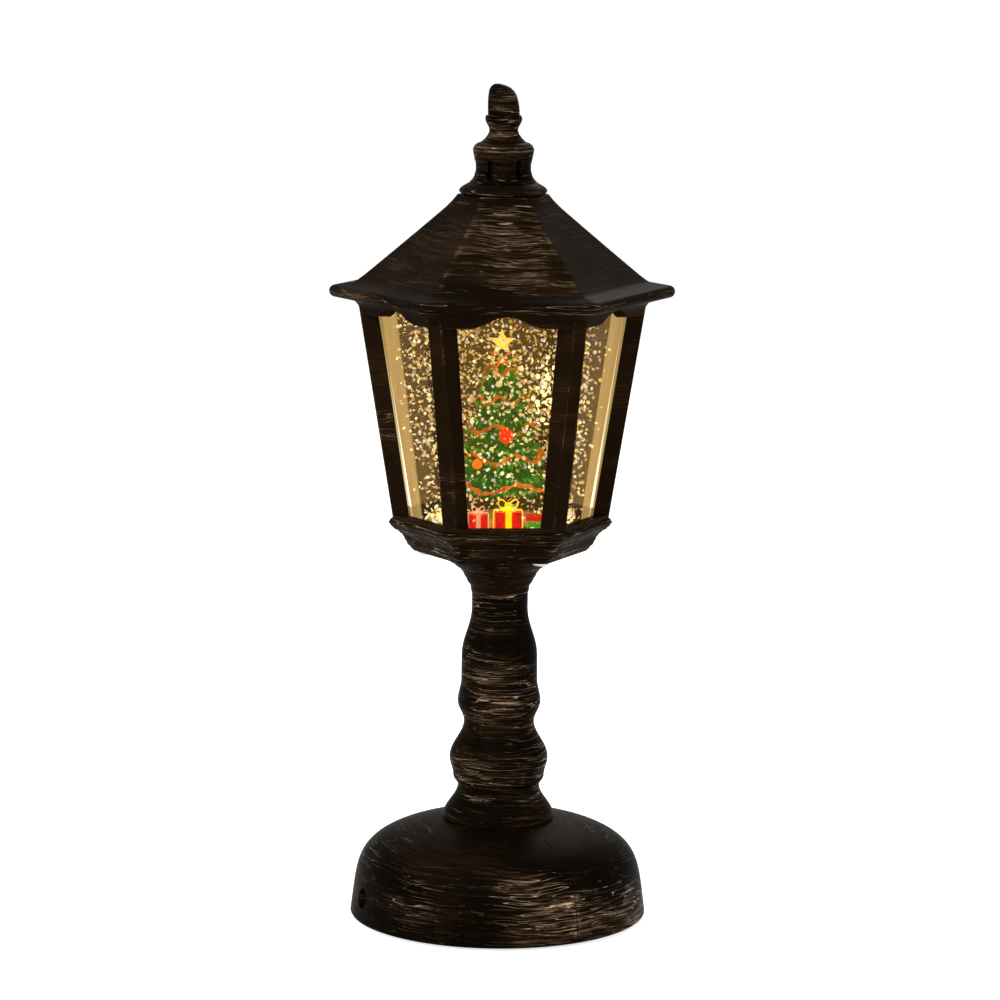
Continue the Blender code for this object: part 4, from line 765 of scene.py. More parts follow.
# %% Bronze finishes, one for each weight of hand
def bronze(name, brown=0.0, side_shade=1.0, **hand):
    """hand sets the brush, with the share of painted highlight on its copper. brown deepens the veil, and the
    third argument is what is left of the strokes on the flanks, as painted shade where a surface faces
    sideways.
    """
    material, tree, shader = finish(name)
    brushed = node(tree, "Group", hand, node_tree=brush).outputs
    # Painted shade: where a surface turns sideways, away from the front and the back, fewer strokes show.
    front = math(tree, "ABSOLUTE", facing(tree, 1))
    stroke = times(tree, brushed["Stroke"], ramp(tree, front, 0.4, 0.62, side_shade))
    warmth = plus(tree, times(tree, brushed["Veil"], 0.8), brown, clamp=True)
    paint = mixed(tree, warmth, (0.0028, 0.0020, 0.0010, 1), (0.020, 0.0095, 0.0036, 1))
    # The light copper is partly the paint's own colour and partly a painted highlight.
    copper = mixed(tree, brushed["Copper_and_highlight"], (0.040, 0.0195, 0.0075, 1), (0.40, 0.265, 0.165, 1))
    feed(tree, shader, {
        "Base Color": mixed(tree, stroke, paint, copper),
        "Metallic": times(tree, times(tree, stroke, brushed["Copper_and_highlight"]), 0.7),
        "Roughness": ramp(tree, brushed["Height"], 0.0, 1.0, 0.42, 0.36),
        "Specular IOR Level": 0.005,
        "Normal": bumped(tree, 0.25, 0.00008, brushed["Height"]),
    })
    return material


dress(bronze("bronze_base", Length=110.0, Fineness=3900.0, Cover=0.8, Tilt=0.02, Edge=0.3, Press=0.5),
      shell_left, shell_right)
dress(bronze("bronze_tray", 0.3, Length=120.0, Fineness=3900.0, Edge=0.8, Press=0.1), tray_dish, tray_flare)
dress(bronze("bronze_roof", 0.2, 0.12, Length=85.0, Fineness=3900.0, Cover=1.0, Tilt=0.03, Press=0.9),
      roof_hood, roof_collar)
dress(bronze("bronze_vent", Length=120.0, Fineness=4200.0, Cover=0.8, Tilt=0.05, Edge=0.8, Press=0.55),
      vent_drum, finial_calyx, finial_bud)
dress(bronze("bronze_posts", 0.45, Length=90.0, Fineness=3900.0, Cover=0.4, Press=0.0), frame_body)
eased = bronze("bronze_eased", 0.8, Length=60.0, Fineness=2500.0, Cover=1.7, Press=1.0)
frame_body.data.materials.append(eased)
print("bronze on", sum("bronze" in m.name for m in bpy.data.materials), "materials")

# %% [markdown]
# ## Clear parts and water
# The tank is clear acrylic with faint waves from its mould. Seen from the front, its two outer
# corners would show the bright floor as a white stripe, so they are tinted and glow a little, as
# if light ran up inside the wall. That suits the front, and veils the tree when seen from the
# side. The water is tinted by a little oil that holds the glitter up, so a deep view turns to
# khaki. A Volume Absorption takes more light away the further a ray travels, and an Emission in
# the same volume stands for the light that fine dust scatters. The measured water is a hollow
# block, because the tree stands in it. The shown one is one closed body with the tree inside.

# %% Acrylic and the water's body
ACRYLIC = {"Base Color": (0.97, 0.96, 0.93, 1), "Roughness": 0.02, "IOR": 1.05, "Transmission Weight": 1.0,
           "Metallic": 0.0}
acrylic, tree, shader = finish("clear_acrylic_shown")
feed(tree, shader, {**ACRYLIC, "Normal": bumped(tree, 0.08, 0.0003, noise(tree, place_in(tree), 130.0, 1.0))})
dress(acrylic, "tank_base")

corner_lean, corner_foot = 0.162, 29.9 * MM  # the tank's corner radius: its growth with height, and its start
wall, tree, shader = finish("clear_acrylic_wall")
x, _, z = split(tree, place_in(tree))
reach = plus(tree, times(tree, minus(tree, z, frame_bottom), corner_lean), corner_foot)
share = math(tree, "DIVIDE", math(tree, "ABSOLUTE", x), reach)
streaks = noise(tree, stretched(tree, place_in(tree), 300.0, 300.0, 12.0), 1.0)
lit = times(tree, ramp(tree, share, 0.80, 0.815), ramp(tree, streaks, 0.3, 0.7, 0.85, 1.15))
feed(tree, shader, {
    **ACRYLIC,
    "Base Color": mixed(tree, ramp(tree, share, 0.915, 0.93), ACRYLIC["Base Color"], (0.15, 0.11, 0.04, 1)),
    "Emission Color": (1.0, 0.68, 0.25, 1),
    "Emission Strength": times(tree, lit, 0.17),
})
dress(wall, "tank")

# %% Fill the tank
water_low, water_high, tank_wall = 124.7 * MM, 195.4 * MM, 2.9 * MM


def water_corner(height):
    """The water's corner radius: the tank's inside, less a hair."""
    return tank_corner(height) - tank_wall


water_rings = [hexagon(water_corner(z), z, 0.6 * MM) for z in (water_low, water_high)]
water_body = piece("water_body", *capped(water_rings), slot="glitter_water")
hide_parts("glitter_water")
tinted, tree, shader = finish("tinted_water")
feed(tree, shader, {**ACRYLIC, "Base Color": (0.13, 0.076, 0.021, 1), "Roughness": 0.0, "IOR": 1.0})
depth = node(tree, "VolumeAbsorption", {"Color": (0.48, 0.35, 0.03, 1), "Density": 31.0})
dust = node(tree, "Emission", {"Color": (1.0, 0.80, 0.48, 1), "Strength": 5.2})
both = node(tree, "AddShader", {0: depth.outputs[0], 1: dust.outputs[0]})
tree.links.new(both.outputs[0], tree.nodes["Material Output"].inputs["Volume"])
dress(tinted, water_body)
print("water from", round(water_low / MM, 1), "to", round(water_high / MM, 1), "mm")

# %% [markdown]
# ## Things that glow in the water
# Three lights under the tank shine up, so everything in the water is bright from below and from
# all sides. Lamps inside would have to shine through the tank's bottom, which takes a long
# render to settle. Each thing gives off a share of its own colour instead. A small group works
# out how much, from a soft noise and from how low the point is.

# %% The glow as a group
glow, given, result = effect("lit_from_below", {"Low": 1.0, "High": 0.6, "Grain": 400.0}, ("Light", "Bump"))
place = place_in(glow)
rise = node(glow, "MapRange", {"Value": split(glow, place)[2], "From Min": 0.126, "From Max": 0.186,
                               "To Min": given["Low"], "To Max": given["High"]}).outputs["Result"]
fine = noise(glow, place, given["Grain"])
feed(glow, result, {"Light": times(glow, rise, ramp(glow, fine, 0.25, 0.7, 0.45, 1.2)), "Bump": fine})


def glowing(name, colour, dark, low=1.0, high=1.0, grain=300.0, strength=1.0, roughness=0.4, bumpy=0.3):
    """A plastic that gives off its own colour as painted light: dark where the glow group gives little light,
    its own colour where it gives much.
    """
    material, tree, shader = finish(name)
    light = node(tree, "Group", {"Low": low, "High": high, "Grain": grain}, node_tree=glow).outputs
    shown = mixed(tree, light["Light"], (*dark, 1), (*colour, 1))
    feed(tree, shader, {"Emission Color": shown, "Base Color": shown, "Emission Strength": strength,
                        "Roughness": roughness, "Normal": bumped(tree, bumpy, 0.0002, light["Bump"])})
    return material


# %% [markdown]
# ## Tree
# The tree is a small moulding with five tiers of drooping branches. A cone for each tier would
# look like a toy from the side. Each tier here is a skirt whose rim swings in and out, and three
# rows of pointed sprigs hang over it, each a bent leaf of two faces. The random numbers have a
# fixed seed, so the tree is the same each time.

# %% Skirts and sprigs
rng = np.random.default_rng(7)
tree_low, tree_high, pitch, tier_height = 134.9 * MM, 178.4 * MM, 8.7 * MM, 1.75
TIERS = (16.7, 13.9, 11.2, 8.4, 5.7)  # each tier's radius in mm
hem, hem_swing, waves, round_steps = 0.6 * MM, 0.9 * MM, 9, 90
around = np.linspace(0, 2 * pi, round_steps, endpoint=False)


def tier_sizes(tier):
    """A tier's rim radius, its lower end and its upper end."""
    low = tree_low + tier * pitch
    return TIERS[tier] * MM, low, min(low + tier_height * pitch, tree_high)


def skirt(tier):
    """One tier as a grid of points: rows from its top down and round under."""
    rim, low, top = tier_sizes(tier)
    inner = (0.12 if tier == len(TIERS) - 1 else 0.3) * rim
    phase, rings = rng.uniform(0, 6), []
    for share in (0, 0.2, 0.4, 0.6, 0.75, 0.88, 0.97, 1.0):
        radius = inner + (rim - inner) * share ** 1.1
        wave = 1 + 0.07 * share * np.cos(waves * around + phase)
        height = top - (top - low - hem) * share ** 0.92
        rings.append([(radius * w * cos(a), radius * w * sin(a), height - hem_swing * share * (w - 1) / 0.07)
                      for w, a in zip(wave, around)])
    for inset, drop in ((1.6 * MM, 0.1 * MM), (rim - 1.7 * MM, -2.4 * MM)):
        radius = max(rim - inset, MM)
        rings.append([(radius * cos(a), radius * sin(a), low + hem - drop) for a in around])
    return band(rings)


skirts = joined(skirt(tier) for tier in range(len(TIERS)))
foliage = piece("foliage_skirts", *skirts, slot="needle_green", sharp=60)
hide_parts("tree_foliage")

sprig_rows = ((0.45, 3.4), (0.68, 3.8), (0.92, 3.2))  # share of the way down a tier, and length in mm
sprig_inset, sprig_lift, sprig_bend = 0.8 * MM, 0.5 * MM, 0.3 * MM
points, faces = [], []
for tier in range(len(TIERS)):
    rim, low, top = tier_sizes(tier)
    for share, length in sprig_rows:
        count = int(8 + rim * share / MM * 3.4)
        for k in range(count):
            angle = 2 * pi * (k + rng.uniform(-0.3, 0.3)) / count
            out, across = np.array([cos(angle), sin(angle), 0]), np.array([-sin(angle), cos(angle), 0])
            start = out * (0.3 * rim + 0.7 * rim * share - sprig_inset)
            start[2] = top - (top - low) * share ** 0.92 + sprig_lift
            reach, wide = length * rng.uniform(0.75, 1.15) * MM, rng.uniform(0.42, 0.65) * MM
            droop = np.array([0, 0, -rng.uniform(0.35, 0.75)])
            middle = start + (out + 0.3 * droop) * reach * 0.5 + np.array([0, 0, sprig_bend])
            tip = start + (out + droop) * reach * 0.8
            first = len(points)
            points += [start - across * wide * 0.4, start + across * wide * 0.4, middle - across * wide,
                       middle + across * wide, tip]
            faces += [(first, first + 1, first + 3, first + 2), (first + 2, first + 3, first + 4)]
sprigs = piece("foliage_sprigs", points, faces, slot="needle_green", sharp=180)
dress(glowing("needles_lit", (0.014, 0.17, 0.018), (0.001, 0.006, 0.001), 1.1, 0.8, 420.0, 1.9, 0.55, 0.5),
      foliage)
dress(glowing("sprigs_lit", (0.060, 0.46, 0.060), (0.002, 0.020, 0.003), 1.1, 0.8, 260.0, 2.5, 0.55), sprigs)
print("the tree has", len(sprigs.data.polygons) // 2, "sprigs")

# %% [markdown]
# ## Garlands
# Copper and orange tinsel hangs round the tiers. A bevelled curve is the natural way to make a
# rope, so each garland is a closed curve that sags between the places where it is hooked up. A
# fine noise bump gives it its fuzz.


# %% Hang the garlands
def rope(name, path, thickness, body="root"):
    """A closed rope along a path, as a curve turned into a mesh. Its thickness varies from point to point."""
    curve = bpy.data.curves.new(name, "CURVE")
    curve.dimensions, curve.bevel_depth, curve.bevel_resolution = "3D", thickness, 2
    spline = curve.splines.new("POLY")
    spline.points.add(len(path) - 1)
    for spot, point in zip(spline.points, path):
        spot.co = (*point, 1)
        spot.radius = rng.uniform(0.45, 1.5)
    spline.use_cyclic_u = True
    shape = linked(name, curve)
    bpy.context.view_layer.update()
    mesh = bpy.data.meshes.new_from_object(shape.evaluated_get(bpy.context.evaluated_depsgraph_get()))
    bpy.data.objects.remove(shape)
    mesh.name = name
    smooth(mesh, 80)
    return riding(linked(name, mesh), body)


tinsel = glowing("tinsel_lit", (0.90, 0.24, 0.040), (0.05, 0.010, 0.003), 1.0, 0.7, 330.0, 2.2, 0.3, 0.8)
tinsel_radius, tinsel_steps = 0.62 * MM, 120
for tier in range(len(TIERS)):
    path = []
    for k in range(tinsel_steps):
        angle, hooks = 2 * pi * k / tinsel_steps, 5 + tier % 2
        sag = (1 - cos(hooks * angle + tier * 1.3)) / 2
        radius = (TIERS[tier] - 0.3 - 1.5 * (1 - sag)) * MM
        height = tree_low + tier * pitch + (3.6 - 2.6 * sag + 0.25 * sin(23 * angle)) * MM
        path.append((radius * cos(angle), radius * sin(angle), height))
    dress(tinsel, rope(f"garland_{tier + 1}", path, tinsel_radius))

# %% [markdown]
# ## Star, bow and baubles
# The star on the tip has a raised middle, so its ten facets catch light one by one. A flat
# cut-out would go dull from most sides. An orange bow hangs under it. The baubles are round, with
# the small crown that real ones hang by.

# %% Shape the star
star_at = Vector((0, 0, 180.5 * MM))
star_tip, star_hollow, star_edge, star_belly = 4.3 * MM, 0.42, 0.25 * MM, 1.1 * MM
rim = [(star_tip * share * sin(pi * k / 5), star_tip * share * cos(pi * k / 5))
       for k, share in enumerate((1, star_hollow) * 5)]
points = [star_at + Vector((x, side * star_edge, z)) for side in (-1, 1) for x, z in rim]
points += [star_at + Vector((0, side * star_belly, 0)) for side in (-1, 1)]
faces = [(k, (k + 1) % 10, 20) for k in range(10)] + [(10 + (k + 1) % 10, 10 + k, 21) for k in range(10)]
faces += [(k, 10 + k, 10 + (k + 1) % 10, (k + 1) % 10) for k in range(10)]
star = piece("star_facets", points, faces, slot="star_yellow", sharp=5)
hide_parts("tree_star")
dress(glowing("star_lit", (1.0, 0.92, 0.34), (1.0, 0.66, 0.10), 1.0, 1.0, 200.0, 5.0, 0.25, 0.2), star)


# %% Tie bows
def strip(path, half, place):
    """A ribbon along (x, z, y) places, half to each side, as points and faces."""
    points = [place + Vector((x, y + side * half, z)) for x, z, y in path for side in (-1, 1)]
    return points, [(a, a + 1, a + 3, a + 2) for a in range(0, 2 * len(path) - 2, 2)]


def cloth(name, strips, slot, sharp, thickness):
    """Strips of ribbon as one piece with a thickness."""
    obj = piece(name, *joined(strips), slot=slot, sharp=sharp)
    thick = obj.modifiers.new("cloth", "SOLIDIFY")
    thick.thickness, thick.offset = thickness, 0
    return obj


def tied_bow(name, centre, reach, rise, width, slot):
    """A bow: two teardrop loops of ribbon with a knot, and two tails."""
    strips = []
    for side in (1, -1):
        loop = [(side * reach * sin(pi * t) * (0.9 + 0.1 * sin(pi * t)),
                 rise * (sin(2 * pi * t) * 0.55 + 0.35 * sin(pi * t)), 0) for t in np.linspace(0, 1, 15)]
        tail = [(side * reach * 0.75 * t, -rise * 1.1 * t, -0.2 * MM * t) for t in np.linspace(0.05, 1, 5)]
        strips += [strip(loop, width / 2, centre), strip(tail, width / 2, centre)]
    knot = [(0.32 * reach * cos(a), 0.32 * rise * sin(a), 0) for a in np.linspace(0, 2 * pi, 11)]
    return cloth(name, [*strips, strip(knot, width * 0.6, centre)], slot, 60, 0.22 * MM)


bow_at = Vector((0, -5.2 * MM, 175.9 * MM))
star_bow = tied_bow("star_bow", bow_at, 3.3 * MM, 2.9 * MM, 2.2 * MM, "orange_gloss")
dress(glowing("bow_orange_lit", (1.0, 0.34, 0.02), (0.60, 0.12, 0.01), strength=2.6), star_bow)

# %% Blow the baubles
# tier, angle in degrees, radius in mm, bright colour, dark colour, slot and strength
BAUBLES = {"bauble_front": (2, -86, 2.3, (1.0, 0.055, 0.012), (0.45, 0.012, 0.006), "red_gloss", 3.0),
           "bauble_left": (1, -120, 1.56, (1.0, 0.30, 0.03), (0.35, 0.06, 0.01), "orange_gloss", 2.6),
           "bauble_right": (0, -40, 1.56, (1.0, 0.55, 0.12), (0.35, 0.14, 0.02), "gold_gloss", 2.6),
           "bauble_side": (0, -165, 1.24, (1.0, 0.07, 0.015), (0.40, 0.012, 0.006), "red_gloss", 2.8)}
CROWN = ((0.26, 0.97), (0.26, 1.12), (0.12, 1.16), (0, 1.16))  # (radius, height) as shares of the radius
bauble_clear, bauble_lift = 0.3, 1.2 * MM


def bauble_centre(tier, angle, radius):
    away = (TIERS[tier] + bauble_clear + radius) * MM
    return polar(away, radians(angle), tree_low + tier * pitch + bauble_lift)


for node_name, (tier, angle, radius, bright, dark, slot, strength) in BAUBLES.items():
    middle, radius = bauble_centre(tier, angle, radius), radius * MM
    outline = [(radius * sin(radians(a)), -radius * cos(radians(a))) for a in range(0, 166, 11)]
    outline += [(r * radius, h * radius) for r, h in CROWN]
    points, faces = band([circle(r, z, 40) for r, z in outline])
    ball = piece(f"{node_name}_blown", [middle + p for p in points], faces, slot=slot, sharp=50)
    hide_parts(node_name)
    dress(glowing(f"{node_name}_lit", bright, dark, 1.3, 1.0, 120.0, strength, 0.15, 0.05), ball)
print("hung", len(BAUBLES), "baubles")

# %% [markdown]
# ## Gifts
# Three wrapped gifts stand before the tree. Boxes with knife edges look like blocks at this size
# too, so each box is bevelled and slightly pulled in at its sides, as card under a tight ribbon
# is. The ribbons are bands that lie on the box.


# %% Wrap the gifts
def wrapped(name, low, high, slot, node_name, material):
    """A box between two corners with rounded edges and slightly hollow sides."""
    bm = bmesh.new()
    bmesh.ops.create_cube(bm, size=1)
    bmesh.ops.bevel(bm, geom=list(bm.edges), offset=0.06, segments=3, affect="EDGES", profile=0.5)
    long_edges = [e for e in bm.edges if e.calc_length() > 0.5]
    bmesh.ops.subdivide_edges(bm, edges=long_edges, cuts=3, use_grid_fill=True)
    size, middle, points, faces = Vector(high) - Vector(low), (Vector(low) + Vector(high)) / 2, [], []
    # Blender can give these points differently from run to run. They are rounded, and sorted by
    # where they are, so that every run makes the same mesh.
    for k, v in enumerate(sorted(bm.verts, key=lambda v: tuple(round(c, 5) for c in v.co))):
        v.index = k
        x, y, z = (round(c, 5) for c in v.co)
        pull = 1 - 0.025 * max(0.0, 1 - (x ** 2 + z ** 2) * 3)
        points.append(middle + Vector((x * size.x, y * size.y * pull, z * size.z)))
    for f in bm.faces:
        ring = [v.index for v in f.verts]
        least = ring.index(min(ring))
        faces.append(tuple(ring[least:] + ring[:least]))
    bm.free()
    obj = piece(name, points, sorted(faces), slot=slot, sharp=40)
    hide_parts(node_name)
    dress(material, obj)


def paper(name, colour, dark, strength, grain=600.0, roughness=0.5, low=1.2):
    return glowing(name, colour, dark, low, 1.0, grain, strength, roughness)


gift_red = paper("gift_red_lit", (0.80, 0.022, 0.020), (0.30, 0.006, 0.008), 2.2)
gift_green = paper("gift_green_lit", (0.10, 0.62, 0.08), (0.02, 0.18, 0.02), 2.0)
yellow = paper("ribbon_yellow_lit", (1.0, 0.86, 0.02), (0.75, 0.50, 0.01), 3.6, 500.0, 0.4, 1.0)
pale = paper("ribbon_pale_lit", (1.0, 0.62, 0.58), (0.60, 0.20, 0.18), 2.4, 500.0, 0.4, 1.0)
wrapped("gift_centre_card", *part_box("gift_centre"), "gift_red", "gift_centre", gift_red)
wrapped("gift_left_card", *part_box("gift_left"), "gift_red", "gift_left", gift_red)
wrapped("gift_right_card", *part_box("gift_right"), "gift_green", "gift_right", gift_green)
wrapped("gift_right_cover", *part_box("gift_right_lid"), "gift_red", "gift_right_lid", gift_red)


def ribboned(name, box_node, ribbon_node, material, slot, width, bow):
    """Two bands crossed over a box, with a bow on top. The bands' middle line follows the box."""
    low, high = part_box(box_node)
    x, y = (low.x + high.x) / 2, (low.y + high.y) / 2
    gap, half, strips = 0.45 * MM, width / 2, []
    for along in (0, 1):
        a, b = (low.x - gap, high.x + gap) if along == 0 else (low.y - gap, high.y + gap)
        path = [(a, low.z), (a, high.z - 0.2 * MM), (a + 0.3 * MM, high.z + gap)]
        path += [(b - 0.3 * MM, high.z + gap), (b, high.z - 0.2 * MM), (b, low.z)]
        points = [(u, y + side * half, z) if along == 0 else (x + side * half, u, z + 0.05 * MM)
                  for u, z in path for side in (-1, 1)]
        strips.append((points, [(k, k + 1, k + 3, k + 2) for k in range(0, 2 * len(path) - 2, 2)]))
    obj = cloth(name, strips, slot, 50, 0.3 * MM)
    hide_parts(ribbon_node)
    knot_at = Vector((x, y - 0.3 * MM, high.z + gap + 0.55 * bow))
    dress(material, obj, tied_bow(f"{name}_bow", knot_at, bow * 1.25, bow, width, slot))


ribboned("gift_centre_band", "gift_centre", "gift_centre_ribbon", yellow, "ribbon_yellow", 1.9 * MM, 2.4 * MM)
ribboned("gift_left_band", "gift_left", "gift_left_ribbon", pale, "ribbon_white", 1.3 * MM, 1.5 * MM)
print("wrapped 3 gifts")

# %% [markdown]
# ## Glitter
# The glitter is punched from thin metallised film, as six-sided flakes about a millimetre wide. A
# particle system could scatter them, but it would be hard to keep them out of the tree and inside
# the slanting walls. Each flake is placed in code and kept only if it is clear of everything. A
# number on each point says how bright that flake is, and another where its rim lies. The flakes
# give off their own light as painted glints, brightest at the rim.

# %% Where a flake may float
swim_low, swim_high, spread_low, wall_clear = 125.3 * MM, 194.3 * MM, 128 * MM, 1.3 * MM
mound_top, mound_reach = 127.6 * MM, 13 * MM
gifts_top, gifts_front, gifts_rear, gifts_middle, gifts_half = (
    134.8 * MM, -20.8 * MM, -10.2 * MM, 0.8 * MM, 13.4 * MM)
star_up, star_side, star_front, star_rear = 5.5 * MM, 5.2 * MM, -3.6 * MM, 2 * MM
trunk_reach, foliage_foot, foliage_taper, foliage_clear = 2.6 * MM, 17.4, 14.4, 0.6 * MM


def tree_radius(height):
    """How far the tree and its garlands reach at a height, with a little room."""
    if height < tree_low - 1 * MM:
        return trunk_reach
    share = (height - tree_low) / (tree_high - tree_low)
    return max(0.0, foliage_foot - foliage_taper * share) * MM + foliage_clear if share < 1.02 else 0.0


def free_spot(x, y, z):
    """True where a flake is in the water and clear of the tree, the gifts and the baubles."""
    floor = mound_top if x * x + y * y < mound_reach ** 2 else swim_low
    wall = (water_corner(z) - wall_clear) * cos(pi / 6)
    in_gifts = z < gifts_top and gifts_front < y < gifts_rear and abs(x - gifts_middle) < gifts_half
    by_star = abs(z - star_at.z) < star_up and abs(x) < star_side and star_front < y < star_rear
    if z > swim_high or z < floor or in_gifts or by_star or sqrt(x * x + y * y) < tree_radius(z):
        return False
    if max(abs(x * cos(a) + y * sin(a)) for a in (pi / 6, pi / 2, 5 * pi / 6)) > wall:
        return False
    return all((Vector((x, y, z)) - bauble_centre(tier, angle, radius)).length >= radius * MM * 1.2 + 1.0 * MM
               for tier, angle, radius, *_ in BAUBLES.values())


def flakes(name, count, small, large, seed, spots=None):
    """Six-sided flakes as one mesh, over the whole tank or round a mean with a spread for each axis.
    'spark' is how bright each flake's painted glint is, and 'rim' is 1 at its edge."""
    dice, points, faces, spark = np.random.default_rng(seed), [], [], []
    while len(spark) < 7 * count:
        if spots is None:
            x, y = dice.uniform(-34, 34) * MM, dice.uniform(-30, 30) * MM
            z = dice.uniform(spread_low, swim_high)
        else:
            x, y, z = (dice.normal(mean, spread) for mean, spread in spots)
        if not free_spot(x, y, z):
            continue
        normal = Vector(dice.normal(0, 1, 3)).normalized()
        turn = normal.to_track_quat("Z", "Y").to_matrix() @ Matrix.Rotation(dice.uniform(0, 1), 3, "Z")
        radius, first, bright = dice.uniform(small, large), len(points), dice.uniform(0, 1)
        centre = Vector((x, y, z))
        points += [centre, *(centre + turn @ polar(radius, k * pi / 3) for k in range(6))]
        faces += [(first, first + 1 + k, first + 1 + (k + 1) % 6) for k in range(6)]
        spark += [bright] * 7
    obj = linked(name, mesh_of(name, points, faces, spark=spark, rim=([0.0] + [1.0] * 6) * count))
    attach(obj, "root")
    return obj


def film(name, dull, bright, strength):
    """Metallised film with a painted glint: it gives off light, most at a flake's rim, a little less in its
    middle, each flake at its own level.
    """
    material, tree, shader = finish(name)
    own, edge = (node(tree, "Attribute", attribute_name=label).outputs["Fac"] for label in ("spark", "rim"))
    level = times(tree, ramp(tree, own, 0.0, 0.9, 0.25), ramp(tree, edge, 0.2, 0.8, 0.6))
    shown = mixed(tree, level, (*dull, 1), (*bright, 1))
    feed(tree, shader, {"Emission Color": shown, "Base Color": shown, "Emission Strength": strength,
                        "Metallic": 0.0, "Roughness": 0.3})
    return material


# %% Scatter the glitter
# name, count, dull colour, bright colour, strength and seed
GLITTER = (("flakes_cream", 1300, (0.22, 0.18, 0.09), (0.84, 0.96, 1.0), 4.6, 11),
           ("flakes_gold", 900, (0.22, 0.17, 0.06), (0.86, 0.80, 0.50), 3.6, 12),
           ("flakes_rose", 450, (0.24, 0.14, 0.08), (0.95, 0.72, 0.74), 3.5, 13),
           ("flakes_violet", 260, (0.12, 0.12, 0.20), (0.42, 0.50, 1.0), 6.0, 14))
# a mean and a spread for each axis
FRONT = ((0.0, 13 * MM), (-21 * MM, 3.2 * MM), (160 * MM, 20 * MM))
GLARE = ((12 * MM, 1.7 * MM), (-21.5 * MM, 1.5 * MM), (168 * MM, 4.2 * MM))
small, large = 0.4 * MM, 0.68 * MM
for name, count, dull, bright, strength, seed in GLITTER:
    film_finish = film(f"{name}_film", dull, bright, strength)
    dress(film_finish, flakes(name, count, 0.36 * MM, 0.64 * MM, seed))
    dress(film_finish, flakes(f"{name}_front", count // 10, 0.45 * MM, 0.75 * MM, seed + 20, FRONT))
    for side, label in ((-1, "left"), (1, "right")):
        beside = ((side * 24 * MM, 5 * MM), (-10 * MM, 7 * MM), (158 * MM, 20 * MM))
        settled = ((side * 19 * MM, 6 * MM), (-12 * MM, 6 * MM), (127 * MM, 1.5 * MM))
        dress(film_finish,
              flakes(f"{name}_settled_{label}", count // 12, small, large, seed + 51 + side, settled),
              flakes(f"{name}_{label}", count // 7, small, large, seed + 31 + side, beside))
dress(film("flakes_glare_film", (0.7, 0.7, 0.6), (0.84, 0.96, 1.0), 5.0),
      flakes("flakes_glare", 46, 0.6 * MM, 0.95 * MM, 35, GLARE))

# %% [markdown]
# ## Plastics, rubber, foam and nylon
# Everything under the lamp and inside it is plain, but no plastic is one flat colour. Its mould
# was eroded by sparks, which leaves a fine grain, and the shine varies a little from patch to
# patch. One group gives the grain, the tone and the shine, and each part picks its own coarseness.

# %% Moulded grain as a group
grain, given, result = effect("moulded_grain", {"Size": 1800.0, "Patch": 90.0}, ("Tone", "Rough", "Height"))
place = place_in(grain)
pits = noise(grain, place, given["Size"], 2.0, 0.6)
clouds = noise(grain, place, given["Patch"])
feed(grain, result, {"Tone": plus(grain, times(grain, pits, 0.5), times(grain, clouds, 0.5)),
                     "Rough": ramp(grain, clouds, 0.3, 0.7, -0.06, 0.06), "Height": pits})


# %% Moulded finishes
def moulded(name, colour, deeper, roughness, size=1800.0, patch=90.0, depth=0.25, glow=0.0, shine=0.5):
    """A plastic, rubber or casting of two close tones with a grain. glow makes it give off its own colour,
    which on the lenses is a lamp and on the snow is painted light.
    """
    material, tree, shader = finish(name)
    skin = node(tree, "Group", {"Size": size, "Patch": patch}, node_tree=grain).outputs
    shown = mixed(tree, ramp(tree, skin["Tone"], 0.35, 0.65), (*deeper, 1), (*colour, 1))
    feed(tree, shader, {
        "Base Color": shown, "Metallic": 0.0, "Specular IOR Level": shine,
        "Roughness": plus(tree, skin["Rough"], roughness),
        "Normal": bumped(tree, depth, 0.0001, skin["Height"]),
    })
    if glow:
        feed(tree, shader, {"Emission Color": shown, "Emission Strength": glow})
    return material


dress(moulded("plastic_black", (0.030, 0.027, 0.025), (0.016, 0.014, 0.013), 0.5),
      "base_plate", "battery_door")
# Painted shade: this plastic is darker than the black one, and behind the vent's slots it stands for the
# shade inside the drum.
dress(moulded("plastic_unlit", (0.006, 0.0052, 0.0045), (0.003, 0.0026, 0.0022), 0.9, shine=0.02),
      vent_shade_liner, seam_lip)
dress(moulded("plastic_switch", (0.055, 0.050, 0.047), (0.035, 0.032, 0.030), 0.42, 1200.0), "switch_body")
dress(moulded("plastic_knob", (0.12, 0.11, 0.105), (0.085, 0.08, 0.075), 0.4, 1500.0), "switch_knob")
dress(moulded("foam_foot", (0.075, 0.072, 0.070), (0.020, 0.019, 0.018), 0.92, 2600.0, 300.0, 1.0),
      "foot_ring")
dress(moulded("rubber_seal", (0.045, 0.043, 0.042), (0.030, 0.029, 0.028), 0.7, 900.0),
      "tank_gasket", "tank_fill_plug")
dress(moulded("nylon_white", (0.80, 0.79, 0.74), (0.66, 0.65, 0.60), 0.4, 700.0), "impeller", "drive_disc")
dress(moulded("ferrite", (0.075, 0.073, 0.078), (0.042, 0.041, 0.045), 0.6, 2200.0, 200.0, 0.6),
      "impeller_magnet", "drive_magnet")
dress(moulded("wire_red_jacket", (0.62, 0.030, 0.022), (0.45, 0.018, 0.014), 0.38, 900.0), "wire_red")
dress(moulded("wire_black_jacket", (0.040, 0.038, 0.037), (0.022, 0.021, 0.020), 0.38, 900.0), "wire_black")
dress(moulded("lens_warm", (1.0, 0.90, 0.66), (1.0, 0.78, 0.42), 0.25, 700.0, 260.0, 0.1, 2.0),
      "light_1", "light_2", "light_3")
